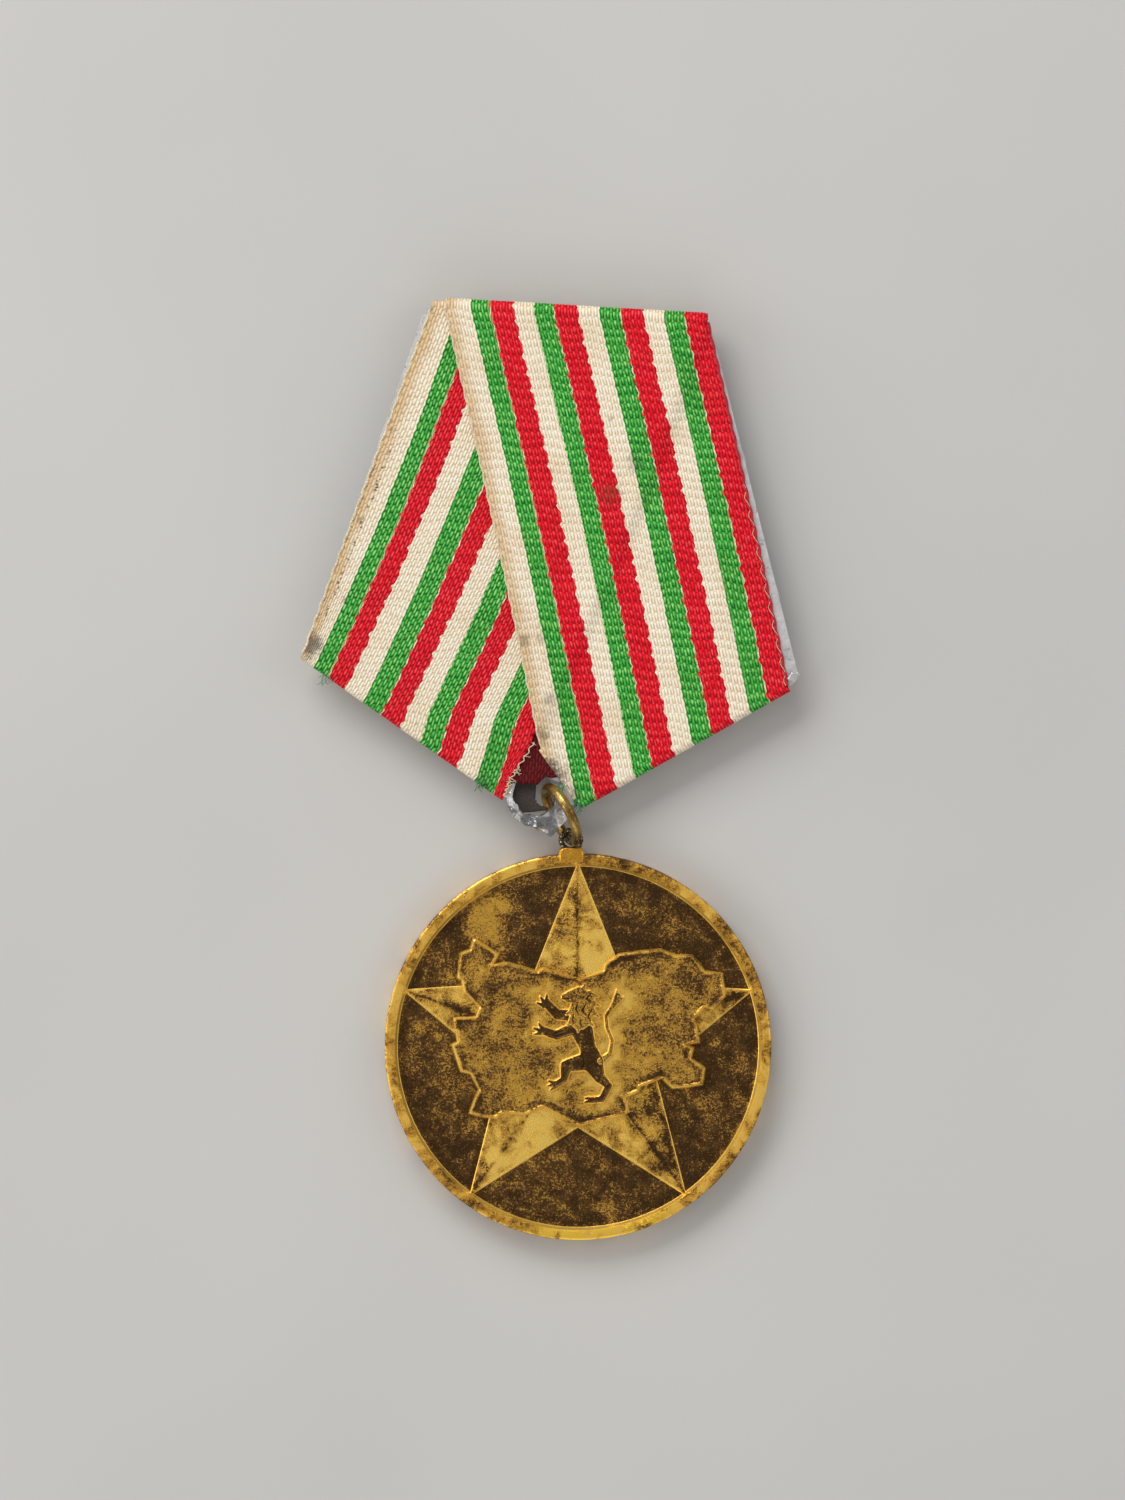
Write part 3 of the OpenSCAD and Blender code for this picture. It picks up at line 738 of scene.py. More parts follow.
LION_CUTS = [
    [(1.25, 5.0, 0.04), (0.8, 4.5, 0.07), (1.2, 4.05, 0.04)],
    [(0.75, 4.0, 0.04), (0.4, 3.4, 0.08), (0.8, 2.9, 0.04)],
    [(0.0, 4.1, 0.04), (-0.2, 3.5, 0.08), (0.1, 3.0, 0.04)],
    [(1.3, 3.5, 0.04), (0.95, 2.9, 0.07), (1.2, 2.4, 0.04)],
    [(0.3, 2.7, 0.04), (0.2, 2.2, 0.07), (0.4, 1.8, 0.04)],
    [(-0.4, 3.0, 0.04), (-0.5, 2.5, 0.07), (-0.3, 2.1, 0.04)],
    [(-0.35, 5.02, 0.09), (-0.3, 5.02, 0.09)],
    [(-1.45, 4.5, 0.05), (-0.8, 4.5, 0.06)],
    [(0.3, -0.6, 0.05), (0.6, -1.6, 0.08), (0.3, -2.1, 0.05)],
    [(3.5, 4.1, 0.04), (3.65, 4.9, 0.05)],
    [(-1.0, 3.1, 0.04), (-1.8, 3.2, 0.06)], [(-1.2, 1.5, 0.04), (-2.1, 1.3, 0.06)],
]
GROUPS = [("TAIL", ["TAIL"], 0.20, 0.35), ("BODY", ["TORSO", "HINDR", "HINDL", "ARMHI", "ARMLO"], 0.25, 1.0),
          ("MANE", ["MANE"], 0.30, 0.12), ("HEAD", ["HEAD"], 0.31, 0.35)]


def chain_dist(px, py, chain):
    d = np.full(px.shape, 1e9)
    for (ax, ay, ar), (bx, by, br) in zip(chain, chain[1:]):
        s, t = seg_dist(px, py, (ax, ay), (bx, by))
        d = np.minimum(d, s - (ar + (br - ar) * t))
    return d


def lion_field(px, py):
    """Height, darkness, brightness (a painted highlight along the outline) and distance outside the lion."""
    h = np.zeros(px.shape)
    dk = np.zeros(px.shape)
    cl = np.zeros(px.shape)
    far = np.full(px.shape, 1e9)
    for _, parts, level, dusk in GROUPS:
        d = np.full(px.shape, 1e9)
        for part in parts:
            for c in LION[part]:
                dc = chain_dist(px, py, c) - 0.08
                k = 0.10
                m = np.clip(0.5 + 0.5 * (d - dc) / k, 0, 1)
                d = np.where(d > 1e8, dc, d * (1 - m) + dc * m - k * m * (1 - m))
        far = np.minimum(far, d)
        t = np.clip(-d / 0.20, 0, 1)
        hp = level * np.sqrt(np.clip(1 - (1 - t) ** 2, 0, 1))
        if dusk > 0.5:
            hp = hp * (1 - 0.36 * sstep(-d, 0.15, 0.34))
        up = hp > h
        h = np.where(up, hp, h)
        dk = np.where(up, dusk * sstep(-d, 0.10, 0.20), dk)
        # painted highlight: a bright rim along each outline of the lion
        cl = np.where(up, 1 - sstep(-d, 0.10, 0.18), cl)
    for c in LION_CUTS:
        d = chain_dist(px, py, c)
        s = sstep(-d, -0.03, 0.05)
        h = np.where(h > 0.05, h - 0.13 * s, h)
        dk = np.maximum(dk, 1.15 * s * (h > 0.01))
        cl = cl * (1 - s)
    return h, dk, cl, far


Z_LIP, Z_IN = 2.47, 2.36
ring0 = densify(PLAQUE, 0.16)
free = []
for dist in (0.09, 0.2, 0.33, 0.5):
    free += offset_points(PLAQUE, 0.16, dist)
step = 0.15
gx, gy = np.meshgrid(np.arange(-11.8, 13.8, step), np.arange(-7.4, 10.2, step))
gx, gy = gx.ravel(), gy.ravel()
ok = inside(gx, gy, PLAQUE)
gx, gy = gx[ok], gy[ok]
ok = loop_dist(gx, gy, PLAQUE) > 0.6
gx, gy = gx[ok], gy[ok]
free += list(zip(gx.tolist(), gy.tolist()))
v2, f2 = triangulate([ring0], free)
d = loop_dist(v2[:, 0], v2[:, 1], PLAQUE)
lipz = np.interp(d, [0, 0.09, 0.20, 0.33, 0.5, 30], [2.39, Z_LIP, Z_LIP - 0.005, Z_IN + 0.01, Z_IN, Z_IN])
swell = np.array([0.035 * fbm(x, y, 0.16, 7.0) for x, y in v2]) * sstep(d, 0.6, 2.5)
_, _, _, far = lion_field(v2[:, 0], v2[:, 1])
halo = 1 - sstep(far + np.array([0.5 * fbm(x, y, 0.8, 3.0) for x, y in v2]), 0.15, 1.25)
z = lipz + swell * sstep(far, 0.1, 1.0)
band = sstep(d, 0.16, 0.3) * (1 - sstep(d + np.array([0.3 * fbm(x, y, 1.1, 6.0) for x, y in v2]), 0.45, 0.95))
patchy = np.array([0.5 + 0.9 * fbm(x, y, 0.35, 11.0) for x, y in v2]).clip(0.1, 1.0)
dark = 0.75 * band * patchy
# painted highlight along the plaque's lip, and a brighter halo round the lion
clean_and_highlight = np.maximum(1.05 * halo, 1.1 * (1 - sstep(d, 0.14, 0.24)))
verts = [(*medal_xy(x, y), zz) for (x, y), zz in zip(v2, z)]
faces = list(f2)
nring = len(ring0)
fm = [0] * len(faces)
k = len(verts)
dark, clean_and_highlight = list(dark), list(clean_and_highlight)
area2 = sum(a[0] * b[1] - b[0] * a[1] for a, b in zip(PLAQUE, PLAQUE[1:] + PLAQUE[:1]))
sgn = 1.0 if area2 > 0 else -1.0
for i in range(nring):
    a, b = ring0[i - 1], ring0[(i + 1) % nring]
    L = math.hypot(b[0] - a[0], b[1] - a[1])
    nx, ny = sgn * (b[1] - a[1]) / L, -sgn * (b[0] - a[0]) / L
    X, Y = medal_xy(*ring0[i])
    verts.append((X, Y, 2.39))
    X, Y = medal_xy(ring0[i][0] + 0.13 * nx, ring0[i][1] + 0.13 * ny)
    verts.append((X, Y, 1.88))
    dark += [0.0, 0.15]
    clean_and_highlight += [1.0, 0.6]
for i in range(nring):
    a, b = k + 2 * i, k + 2 * ((i + 1) % nring)
    q = (a, a + 1, b + 1, b)
    faces.append(q if sgn > 0 else q[::-1])
    fm.append(1)
plaque = mesh_piece("medal_plaque", verts, faces, "medal", [gold_plaque, gold_bevel], "gilt_brass",
                    attrs={"dark": dark, "clean_and_highlight": clean_and_highlight}, face_mats=fm)
plaque.data.set_sharp_from_angle(angle=math.radians(24))

step = 0.05
ux = np.arange(-4.9, 4.6, step)
vy = np.arange(-5.7, 6.2, step)
GX, GY = np.meshgrid(ux, vy, indexing="ij")
h, dk, cl, far = lion_field(GX, GY)
keep = h > 0.002
grow = keep.copy()
grow[1:] |= keep[:-1]
grow[:-1] |= keep[1:]
grow[:, 1:] |= keep[:, :-1]
grow[:, :-1] |= keep[:, 1:]
num = -np.ones(grow.shape, int)
num[grow] = np.arange(grow.sum())
zz = Z_IN - 0.015 + h
I, J = np.nonzero(grow)
X, Y = medal_xy(GX[I, J], GY[I, J])
verts = list(zip(X.tolist(), Y.tolist(), zz[I, J].tolist()))
faces = []
for i in range(grow.shape[0] - 1):
    for j in range(grow.shape[1] - 1):
        q = (num[i, j], num[i + 1, j], num[i + 1, j + 1], num[i, j + 1])
        if min(q) >= 0:
            faces.append(tuple(int(t) for t in q))
lion = mesh_piece("medal_lion", verts, faces, "medal", [gold_lion], "gilt_brass",
                  attrs={"dark": dk[I, J], "clean_and_highlight": cl[I, J]})

# shoulder on the rim that carries the ear
ET = math.radians(5.24)
shape = [(-1.25, 17.25), (1.25, 17.25), (1.2, 17.95), (1.14, 18.3), (0.98, 18.52), (0.6, 18.6), (0.0, 18.62),
         (-0.62, 18.6), (-1.0, 18.5), (-1.15, 18.28), (-1.2, 17.95)]
pts = [(MX + math.cos(ET) * x - math.sin(ET) * y, MY + math.sin(ET) * x + math.cos(ET) * y) for x, y in shape]
n = len(pts)
verts = [(x, y, 0.85) for x, y in pts] + [(x, y, 2.36) for x, y in pts] + [
    (MX + math.cos(ET) * x * 0.86 - math.sin(ET) * (y - 0.08), MY + math.sin(ET) * x * 0.86 + math.cos(ET) * (y - 0.08), 2.54)
    for x, y in shape]
faces = [tuple(range(n - 1, -1, -1)), tuple(range(2 * n, 3 * n))]
faces += [(i, (i + 1) % n, n + (i + 1) % n, n + i) for i in range(n)]
faces += [(n + i, n + (i + 1) % n, 2 * n + (i + 1) % n, 2 * n + i) for i in range(n)]
tab = mesh_piece("medal_shoulder", verts, faces, "medal", [gold_tab], "gilt_brass")
modifier(tab, "BEVEL", width=0.00008, segments=2, limit_method="ANGLE")

# ---------------------------------------------------------------- ribbon
Y_TOP = 22.88
UL = [0.0, 2.35, 4.15, 6.15, 8.35, 10.5, 12.65, 14.8, 16.8, 18.95, 20.95, 23.05, 24.95]
UR = [0.0, 2.35, 4.15, 6.3, 8.25, 10.15, 12.35, 14.35, 16.35, 18.4, 20.35, 22.25, 24.4]
WEAVE = 0.84


def left_x(y):
    return -19.75 + 0.36 * y - 0.002 * y * y + (0.2 * (-15 - y) if y < -15 else 0.0)


def left_at(y, u):
    """Across the left-hand fall: straight outer selvedge, and a torn inner one low down."""
    x = left_x(y)
    if u < 2.35:
        e = -12.6 - 10.28 * (23.0 - y) / 33.44
        return e + u / 2.35 * (x + 2.35 - e)
    if u > 23.05 and y < -17.0:
        return x + 23.05 + (u - 23.05) * max(0.5, 1 - 0.5 * (-17.0 - y) / 3.67)
    return x + u


def right_at(y, u):
    return right_x(y) + u


def right_x(y):
    return -4.9 - 0.275 * y - 0.0005 * y * y


def puff(x, y, seed):
    return 0.075 * fbm(x, y, 0.09, seed) + 0.03 * fbm(x, y, 0.35, seed + 4)


def solve_y(fx, u, line, inset):
    """Where a warp end at offset u meets a lower edge (value, slope), moved inwards by inset."""
    x_ref, y_ref, slope = line
    lift = inset * math.sqrt(1 + slope * slope)
    lo, hi = -27.0, 23.0
    for _ in range(40):
        m = 0.5 * (lo + hi)
        if m > y_ref + slope * (fx(m, u) - x_ref) + lift:
            hi = m
        else:
            lo = m
    return 0.5 * (lo + hi)


def fall(fx, width, lines, zfun, flap_z, ncol, nrow, flap_dir, seed, mat_front):
    verts, uvs = [], []
    cols = np.linspace(0.0, width, ncol)
    NF, NA, NH = 12, 7, 9
    for u in cols:
        best = None
        for line in lines:
            y = solve_y(fx, u, line[0], 0.42 if line[1] > 0 else 0.12)
            if best is None or y > best[0]:
                best = (y, line)
        y_end, (ln, side) = best
        slope = ln[2]
        nx, ny = slope, -1.0
        L = math.hypot(nx, ny)
        nx, ny = nx / L, ny / L
        xe = fx(y_end, u)
        dx, dy = fx(y_end - 0.5, u) - fx(y_end, u), -0.5
        L = math.hypot(dx, dy)
        dx, dy = dx / L, dy / L
        dn = dx * nx + dy * ny
        rx, ry = dx - 2 * dn * nx, dy - 2 * dn * ny
        z_top = zfun(fx(Y_TOP, u), Y_TOP, u)
        xt = fx(Y_TOP, u)
        # flap behind the top edge
        for i in range(NF):
            s = 6.0 * (1 - i / NF) * (1 - 0.03 * math.sin(u * 1.3))
            verts.append((xt + flap_dir * 0.28 * s, Y_TOP - s * 0.96, flap_z + 0.05 * fbm(u, s, 0.3, seed)))
            uvs.append((u, -1.2 - s))
        zc, rr = 0.5 * (z_top + flap_z), 0.5 * (z_top - flap_z)
        for i in range(NA):
            a = math.pi * (1 - (i + 0.5) / NA)
            verts.append((xt, Y_TOP + rr * math.sin(a), zc + rr * math.cos(a)))
            uvs.append((u, -rr * a))
        v = 0.0
        px, py = xt, Y_TOP
        for i in range(nrow):
            y = Y_TOP + (y_end - Y_TOP) * i / (nrow - 1)
            x = fx(y, u)
            v += math.hypot(x - px, y - py)
            px, py = x, y
            edge = min(u, width - u)
            rib = 0.022 * math.cos(2 * math.pi * (v + 0.12 * math.sin(u * 1.7 + v * 0.35)) / WEAVE)
            rag = 0.0
            if edge < 0.02:
                rag = 0.13 * abs(math.sin(math.pi * v / 1.75 + 0.6 * fbm(v, u, 0.2, seed))) ** 0.8 - 0.06 + 0.05 * fbm(v, u, 0.8, seed)
                rag = -rag if u < 1 else rag
            z = zfun(x, y, u) + rib - (0.05 if edge < 0.02 else 0.0)
            verts.append((x + rag, y, z))
            uvs.append((u, v))
        z_end = zfun(xe, y_end, u)
        if side > 0:
            hz = 2.42 + 0.04 * fbm(u, 3.0, 0.3, seed)
            zc, rr = 0.5 * (z_end + hz), 0.5 * (z_end - hz)
            hem = 4.2
            far = xe if xe > 0 else -xe
            hem *= min(1.0, max(0.06, (far - (4.6 if xe > 0 else 3.9)) / 3.2))
        else:
            hz = z_end - 0.26
            zc, rr = z_end - 0.13, 0.13
            hem = 0.25
        for i in range(NA):
            a = math.pi * (i + 0.5) / NA
            b = rr * math.sin(a)
            verts.append((xe + nx * b, y_end + ny * b, zc + rr * math.cos(a)))
            uvs.append((u, v + rr * a))
        for i in range(NH):
            s = hem * (i + 1) / NH
            verts.append((xe + rx * s, y_end + ry * s, hz))
            uvs.append((u, v + rr * math.pi + s))
    nv = NF + NA + nrow + NA + NH
    return verts, grid_faces(ncol, nv), uvs, nv


def left_z(x, y, u):
    edge = sstep(np.float64(min(u, 24.95 - u)), 0.0, 0.8)
    return 3.27 + puff(x, y, 1.0) * float(edge)


def right_z(x, y, u):
    over = 1 - float(sstep(np.float64(x - (left_x(y) + 24.95)), -0.1, 1.5))
    if y < -16.5:
        over *= max(0.0, 1 - (-16.5 - y) / 4.0)
    sel = float(sstep(np.float64(u), 0.0, 0.9))
    return 3.29 + 0.36 * over + 0.04 * (1 - sel) + puff(x, y, 8.0) * (0.3 + 0.7 * sel)


V_LEFT = ((-22.88, -10.44, -0.6216), 1)
V_RIGHT = ((22.61, -10.82, 0.640), 1)
CUT = ((-0.6, -17.3, -1.279), -1)
BROWN_SPOT = lin(86, 60, 34)
SOOT = lin(48, 44, 40)

left_spots = [(*S(-9.9, 23.1), 1.3, BROWN_SPOT, 0.75), (*S(-22.2, -9.2), 1.6, SOOT, 0.95), (*S(-18.2, 2.7), 0.5, BROWN_SPOT, 0.5),
              (*S(-15.7, 11.2), 0.45, BROWN_SPOT, 0.45), (*S(-5.5, -21.4), 1.5, SOOT, 0.55), (*S(-19.2, -4.8), 0.5, SOOT, 0.5)]
right_spots = [(*S(1.0, -20.3), 2.1, SOOT, 0.9), (*S(2.9, -21.8), 1.3, SOOT, 0.6), (*S(-0.3, -16.3), 0.9, SOOT, 0.5), (*S(-5.0, -0.3), 0.5, BROWN_SPOT, 0.5),
               (*S(-0.9, -7.5), 0.6, BROWN_SPOT, 0.5), (*S(4.5, 13.3), 0.45, BROWN_SPOT, 0.4), (*S(0.2, -13.0), 0.8, SOOT, 0.45),
               (*S(4.8, 6.4), 1.5, BROWN_SPOT, 0.55), (*S(7.0, 9.4), 1.1, SOOT, 0.45), (*S(0.7, -19.8), 1.5, SOOT, 0.85),
               (*S(-2.3, -7.6), 0.8, SOOT, 0.55)]
silk_left = ribbon_silk("silk_left", UL, 0.98, 2.0, left_spots, specks=(0.95, 12.0, 31.0), edge_tan=0.7, stag=0.42)
silk_right = ribbon_silk("silk_right", UR, 1.0, 31.0, right_spots, edge_tan=0.6, stag=0.22, rib_shade=0.5)
# painted shade: a dark brown-grey cloth that stands for the shadow seen through the lug's hole
hole_shade_cloth = plain_thread("hole_shade_cloth", lin(66, 56, 52))
# painted shade: tint 0.15 darkens the under-layer's silk where it lies under the falls
silk_under_shaded = ribbon_silk("silk_under_shaded", [0, 1, 2, 24, 24.2, 24.4, 24.6, 24.8, 25.0, 25.2, 25.4, 25.6, 26], 0.15, 5.0)

lv, lf, luv, _ = fall(left_at, 24.95, [V_LEFT], left_z, 2.42, 84, 170, 1.0, 12.0, 0)
rv, rf, ruv, _ = fall(right_at, 24.4, [V_RIGHT, CUT], right_z, 2.12, 82, 170, -1.0, 19.0, 0)
# move both falls into the row frame and join them in one mesh
lv2 = [(*S(x, y), z) for x, y, z in lv]
rv2 = [(*S(x, y), z) for x, y, z in rv]
base = len(lv2)
verts = lv2 + rv2
faces = lf + [tuple(i + base for i in q) for q in rf]
mats_idx = [0] * len(lf) + [1] * len(rf)
silk = mesh_piece("ribbon_falls", verts, faces, "ribbon_mount", [silk_left, silk_right], "striped_ribbon",
                  uvs=luv + ruv, face_mats=mats_idx)
modifier(silk, "SOLIDIFY", thickness=0.00024, offset=0.0)
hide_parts("ribbon")

# under-layer that shows in the notch over the hole, its silk darkened as painted shade, and a dark sheet of painted
# shade behind the hole's upper left
nu, nv = 24, 26
verts, uvs = [], []
for i in range(nu):
    for j in range(nv):
        a, b = i / (nu - 1), j / (nv - 1)
        x = -3.4 + 5.0 * a
        low = -20.95 if x < -0.4 else -20.95 + 0.75 * min(1.0, (x + 0.4) / 0.8)
        y = -15.6 + (low + 15.6) * b + 0.06 * math.sin(5 * x) * b
        z = 3.13 + 0.02 * math.cos(2 * math.pi * y / WEAVE) + 0.03 * fbm(x, y, 0.6, 3.0)
        verts.append((*S(x, y), z))
        uvs.append((4.0 + 5.0 * a, 5.0 * b))
inner_o = mesh_piece("ribbon_inner_layer", verts, grid_faces(nu, nv), "ribbon_mount", [silk_under_shaded], "striped_ribbon", uvs=uvs)
modifier(inner_o, "SOLIDIFY", thickness=0.0001, offset=0.0)
verts, uvs = [], []
for i in range(42):
    for j in range(34):
        a, b = i / 41, j / 33
        x = -3.0 + 5.2 * a
        y = -19.6 - (4.1 - 0.9 * a * a) * b
        verts.append((*S(x, y), 2.4 + 0.05 * fbm(x, y, 0.6, 3.0)))
        uvs.append((4.0 + 2.5 * a, 3.0 * b))
# a round sheet of painted shade over the hole, open where the ring passes through
gap = []
for q in grid_faces(42, 34):
    qx, qy = sum(verts[k][0] for k in q) / 4, sum(verts[k][1] for k in q) / 4 - OY
    t = max(0.0, min(1.0, ((qx - 0.62) * 0.8 + (qy + 21.2) * -1.4) / 2.6))
    s = max(0.0, min(1.0, ((qx - 0.62) * -0.26 + (qy + 21.2) * -0.96) / 0.9))
    clear = min(math.hypot(qx - 0.62 - 0.8 * t, qy + 21.2 + 1.4 * t) - 0.78,
                math.hypot(qx - 0.62 + 0.234 * s, qy + 21.2 + 0.864 * s) - 0.85, math.hypot(qx - 0.55, qy + 21.25) - 1.05)
    if clear > 0 and math.hypot(qx + 0.65, qy + 21.9) < 2.45:
        gap.append(q)
hole_shade_sheet = mesh_piece("ribbon_lining", verts, gap, "ribbon_mount", [hole_shade_cloth], "striped_ribbon", uvs=uvs)
modifier(hole_shade_sheet, "SOLIDIFY", thickness=0.0002, offset=0.0)

# corded selvedge on the right-hand edge, with a pale thread looped round it
cord_red = plain_thread("cord_red", lin(196, 24, 48))
cord_pale = plain_thread("cord_pale", lin(226, 208, 168))
cord_white = plain_thread("cord_white", lin(238, 222, 188))
cord_green = plain_thread("cord_green", lin(64, 150, 84))


def edge_path(fx, u, y0, y1, n, zf, out, amp, period):
    pts = []
    v = 0.0
    for i in range(n):
        y = y0 + (y1 - y0) * i / (n - 1)
        x = fx(y, u)
        v = (y0 - y) * 1.04
        wv = amp * math.sin(2 * math.pi * v / period)
        pts.append((*S(x + out * (0.02 + wv), y), zf(x, y, max(0.0, min(u, 24.4))) + 0.02 + 0.05 * math.cos(2 * math.pi * v / period)))
    return pts


y_end_r = solve_y(right_at, 24.4, V_RIGHT[0], 0.5)
p = edge_path(right_at, 24.4, 22.8, y_end_r, 150, right_z, 1, 0.05, 1.75)
cord = mesh_piece("selvedge_cord_right", *tube(p, 0.15, 6), "ribbon_mount", [cord_red], "striped_ribbon")
p = edge_path(right_at, 24.28, 8.0, y_end_r, 240, right_z, 1, 0.16, 1.75)
p = [(x, y, z + 0.14) for x, y, z in p]
cord2 = mesh_piece("selvedge_thread_right", *tube(p, 0.032, 5), "ribbon_mount", [cord_pale], "striped_ribbon")
y_end_l = solve_y(left_at, 0.0, V_LEFT[0], 0.5)
p = edge_path(left_at, 0.0, 22.8, y_end_l, 150, left_z, -1, 0.05, 1.6)
cord3 = mesh_piece("selvedge_cord_left", *tube(p, 0.13, 6), "ribbon_mount", [cord_white], "striped_ribbon")
p = edge_path(right_at, 0.0, 22.7, -17.0, 160, right_z, -1, 0.05, 1.6)
cord4 = mesh_piece("selvedge_cord_middle", *tube(p, 0.11, 6), "ribbon_mount", [cord_white], "striped_ribbon")

# worn ends: the left-hand fall's torn edge by the lug and a few stray threads
rng = np.random.default_rng(7)
torn = [(-0.9, -17.0), (-1.6, -18.4), (-2.3, -19.6), (-2.95, -20.7), (-3.15, -21.6), (-3.3, -22.3)]
parts, parts_g = [], []
for i in range(20):
    t = rng.random() * (len(torn) - 1.001)
    k = int(t)
    a, b = torn[k], torn[k + 1]
    x, y = a[0] + (b[0] - a[0]) * (t - k), a[1] + (b[1] - a[1]) * (t - k)
    L = 0.22 + 0.4 * rng.random()
    ang = math.radians(-20 + 75 * (rng.random() - 0.5))
    pts = []
    for s in np.linspace(-0.5, 1.0, 7):
        q = ang + 0.8 * s * (rng.random() - 0.4)
        pts.append((*S(x + math.cos(q) * L * s, y + math.sin(q) * L * s), 3.42 + 0.12 * s * rng.random() - 0.18 * max(0, s) ** 2))
    parts.append(tube(pts, 0.035, 5))
fray = mesh_piece("torn_threads", *joined(parts), "ribbon_mount", [cord_white], "striped_ribbon")
zig = []
for i in range(60):
    t = i / 59 * (len(torn) - 1.001)
    k = int(t)
    a, b = torn[k], torn[k + 1]
    x, y = a[0] + (b[0] - a[0]) * (t - k), a[1] + (b[1] - a[1]) * (t - k)
    w = 0.13 * math.sin(2 * math.pi * i / 7.0) + 0.06 * fbm(x, y, 1.5, 1.0)
    zig.append((*S(x + w, y), 3.42 + 0.04 * (i % 3)))
zig_o = mesh_piece("torn_selvedge", *tube(zig, 0.06, 6), "ribbon_mount", [cord_white], "striped_ribbon")
modifier(zig_o, "SMOOTH", factor=0.4, iterations=2)
tufts = [(S(-20.5, -12.0), 3.2, -100, 9), (S(-5.7, -20.9), 3.3, -80, 12), (S(3.4, -22.4), 3.4, -60, 8), (S(1.9, -20.9), 3.6, -120, 7)]
parts = []
for (x, y), z, aim, count in tufts:
    for i in range(count):
        ang = math.radians(aim + 110 * (rng.random() - 0.5))
        bend = 1.6 * (rng.random() - 0.5)
        L = 0.5 + 0.8 * rng.random()
        x0, y0 = x + 0.7 * (rng.random() - 0.5), y + 0.3 * (rng.random() - 0.5)
        pts = [(x0 + L * s * math.cos(ang + bend * s), y0 + L * s * math.sin(ang + bend * s), z - 0.7 * s * s * rng.random())
               for s in np.linspace(-0.3, 1.0, 7)]
        parts.append(tube(pts, 0.03, 5))
stray = mesh_piece("stray_threads", *joined(parts), "ribbon_mount", [cord_green], "striped_ribbon")

# ---------------------------------------------------------------- aluminium plate and its lug
OUTLINE = [(13.2, 22.9), (23.3, -9.4), (22.8, -10.3), (3.7, -22.3), (3.25, -22.9), (2.4, -24.2), (1.35, -25.5),
           (1.1, -25.7), (-0.2, -25.0), (-1.3, -24.75), (-2.3, -24.1), (-2.95, -23.1), (-3.2, -22.3), (-22.2, -10.45),
           (-22.6, -9.8), (-13.25, 22.9)]
HOLE = []
for i in range(72):
    a = 2 * math.pi * i / 72
    left = max(0.0, -math.cos(a - 0.5))
    k = 2.04 - 0.14 * left - 0.10 * left * math.sin(7 * a) - 0.05 * math.sin(3 * a + 1)
    HOLE.append((-0.65 + min(2.04, k) * math.cos(a), -21.9 + min(2.04, k) * math.sin(a)))


loop = []
for a, b in zip(OUTLINE, OUTLINE[1:] + OUTLINE[:1]):
    L = math.hypot(b[0] - a[0], b[1] - a[1])
    st = 0.16 if min(a[1], b[1]) < -22.0 and max(a[1], b[1]) < -21.0 else 1.0
    n = max(1, int(round(L / st)))
    for i in range(n):
        t = i / n
        x, y = a[0] + (b[0] - a[0]) * t, a[1] + (b[1] - a[1]) * t
        if y < -22.4:
            k = 0.05 * fbm(x, y, 1.4, 3.0)
            x, y = x + k, y + k
        loop.append((x, y))
gx, gy = np.meshgrid(np.arange(-23, 23.2, 0.9), np.arange(-21, 22.8, 0.9))
g1 = np.stack([gx.ravel(), gy.ravel()], 1)
gx, gy = np.meshgrid(np.arange(-5, 5, 0.17), np.arange(-25.6, -17.5, 0.17))
g2 = np.stack([gx.ravel(), gy.ravel()], 1)
g1 = g1[~((abs(g1[:, 0]) < 5.2) & (g1[:, 1] < -17.3))]
g = np.concatenate([g1, g2])
ok = inside(g[:, 0], g[:, 1], loop) & ~inside(g[:, 0], g[:, 1], HOLE)
ok &= (loop_dist(g[:, 0], g[:, 1], loop) > 0.08) & (loop_dist(g[:, 0], g[:, 1], HOLE) > 0.08)
v2, f2 = triangulate([loop, HOLE], [tuple(q) for q in g[ok]])
d_out = loop_dist(v2[:, 0], v2[:, 1], loop)
d_hole = loop_dist(v2[:, 0], v2[:, 1], HOLE)
verts, crease_shade = [], []
for (x, y), do, dh in zip(v2, d_out, d_hole):
    z = 2.85
    lug = float(sstep(np.float64(-y), 20.6, 22.6))
    if lug > 0:
        left = float(sstep(np.float64(1.0 - x), -0.5, 1.2))
        z += lug * left * (0.42 * math.exp(-(do / 0.42) ** 2) + 0.10 * math.exp(-(dh / 0.35) ** 2))
        z += lug * (0.06 * fbm(x, y, 0.7, 5.0) + 0.035 * fbm(x, y, 2.2, 2.0))
        r1, r2 = abs(fbm(x, y, 0.85, 21.0)), abs(fbm(x, y, 1.9, 33.0))
        z -= lug * (0.35 + 0.65 * left) * (0.30 * max(0.0, 0.22 - r1) + 0.16 * max(0.0, 0.2 - r2))
        z -= lug * (1 - left) * 0.22 * math.exp(-(do / 0.5) ** 2)
        if x > 0.8:
            z += 0.05 * lug * math.sin(3.4 * (x + 0.6 * y))
    verts.append((*S(x, y), z))
    # painted shade in the lug's creases and along the hole's rim
    crease_shade.append(0.0 if lug <= 0 else lug * (1.1 * max(0.0, 1 - r1 / 0.12) + 0.6 * max(0.0, 1 - r2 / 0.1) + 0.7 * math.exp(-(dh / 0.12) ** 2)))
alu = aluminium("aluminium_sheet")
foil = aluminium("aluminium_lug", 1.0, 0.16, 0.2)
fy = v2[np.array(f2)][:, :, 1].mean(axis=1)
plate = mesh_piece("plate_sheet", verts, f2, "ribbon_mount", [alu, foil], "aluminium_plate", attrs={"crease_shade": crease_shade},
                   face_mats=(fy < -20.0).astype(int))
modifier(plate, "SOLIDIFY", thickness=0.0004, offset=0.0)
modifier(plate, "EDGE_SPLIT", split_angle=math.radians(32))
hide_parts("backing_plate")

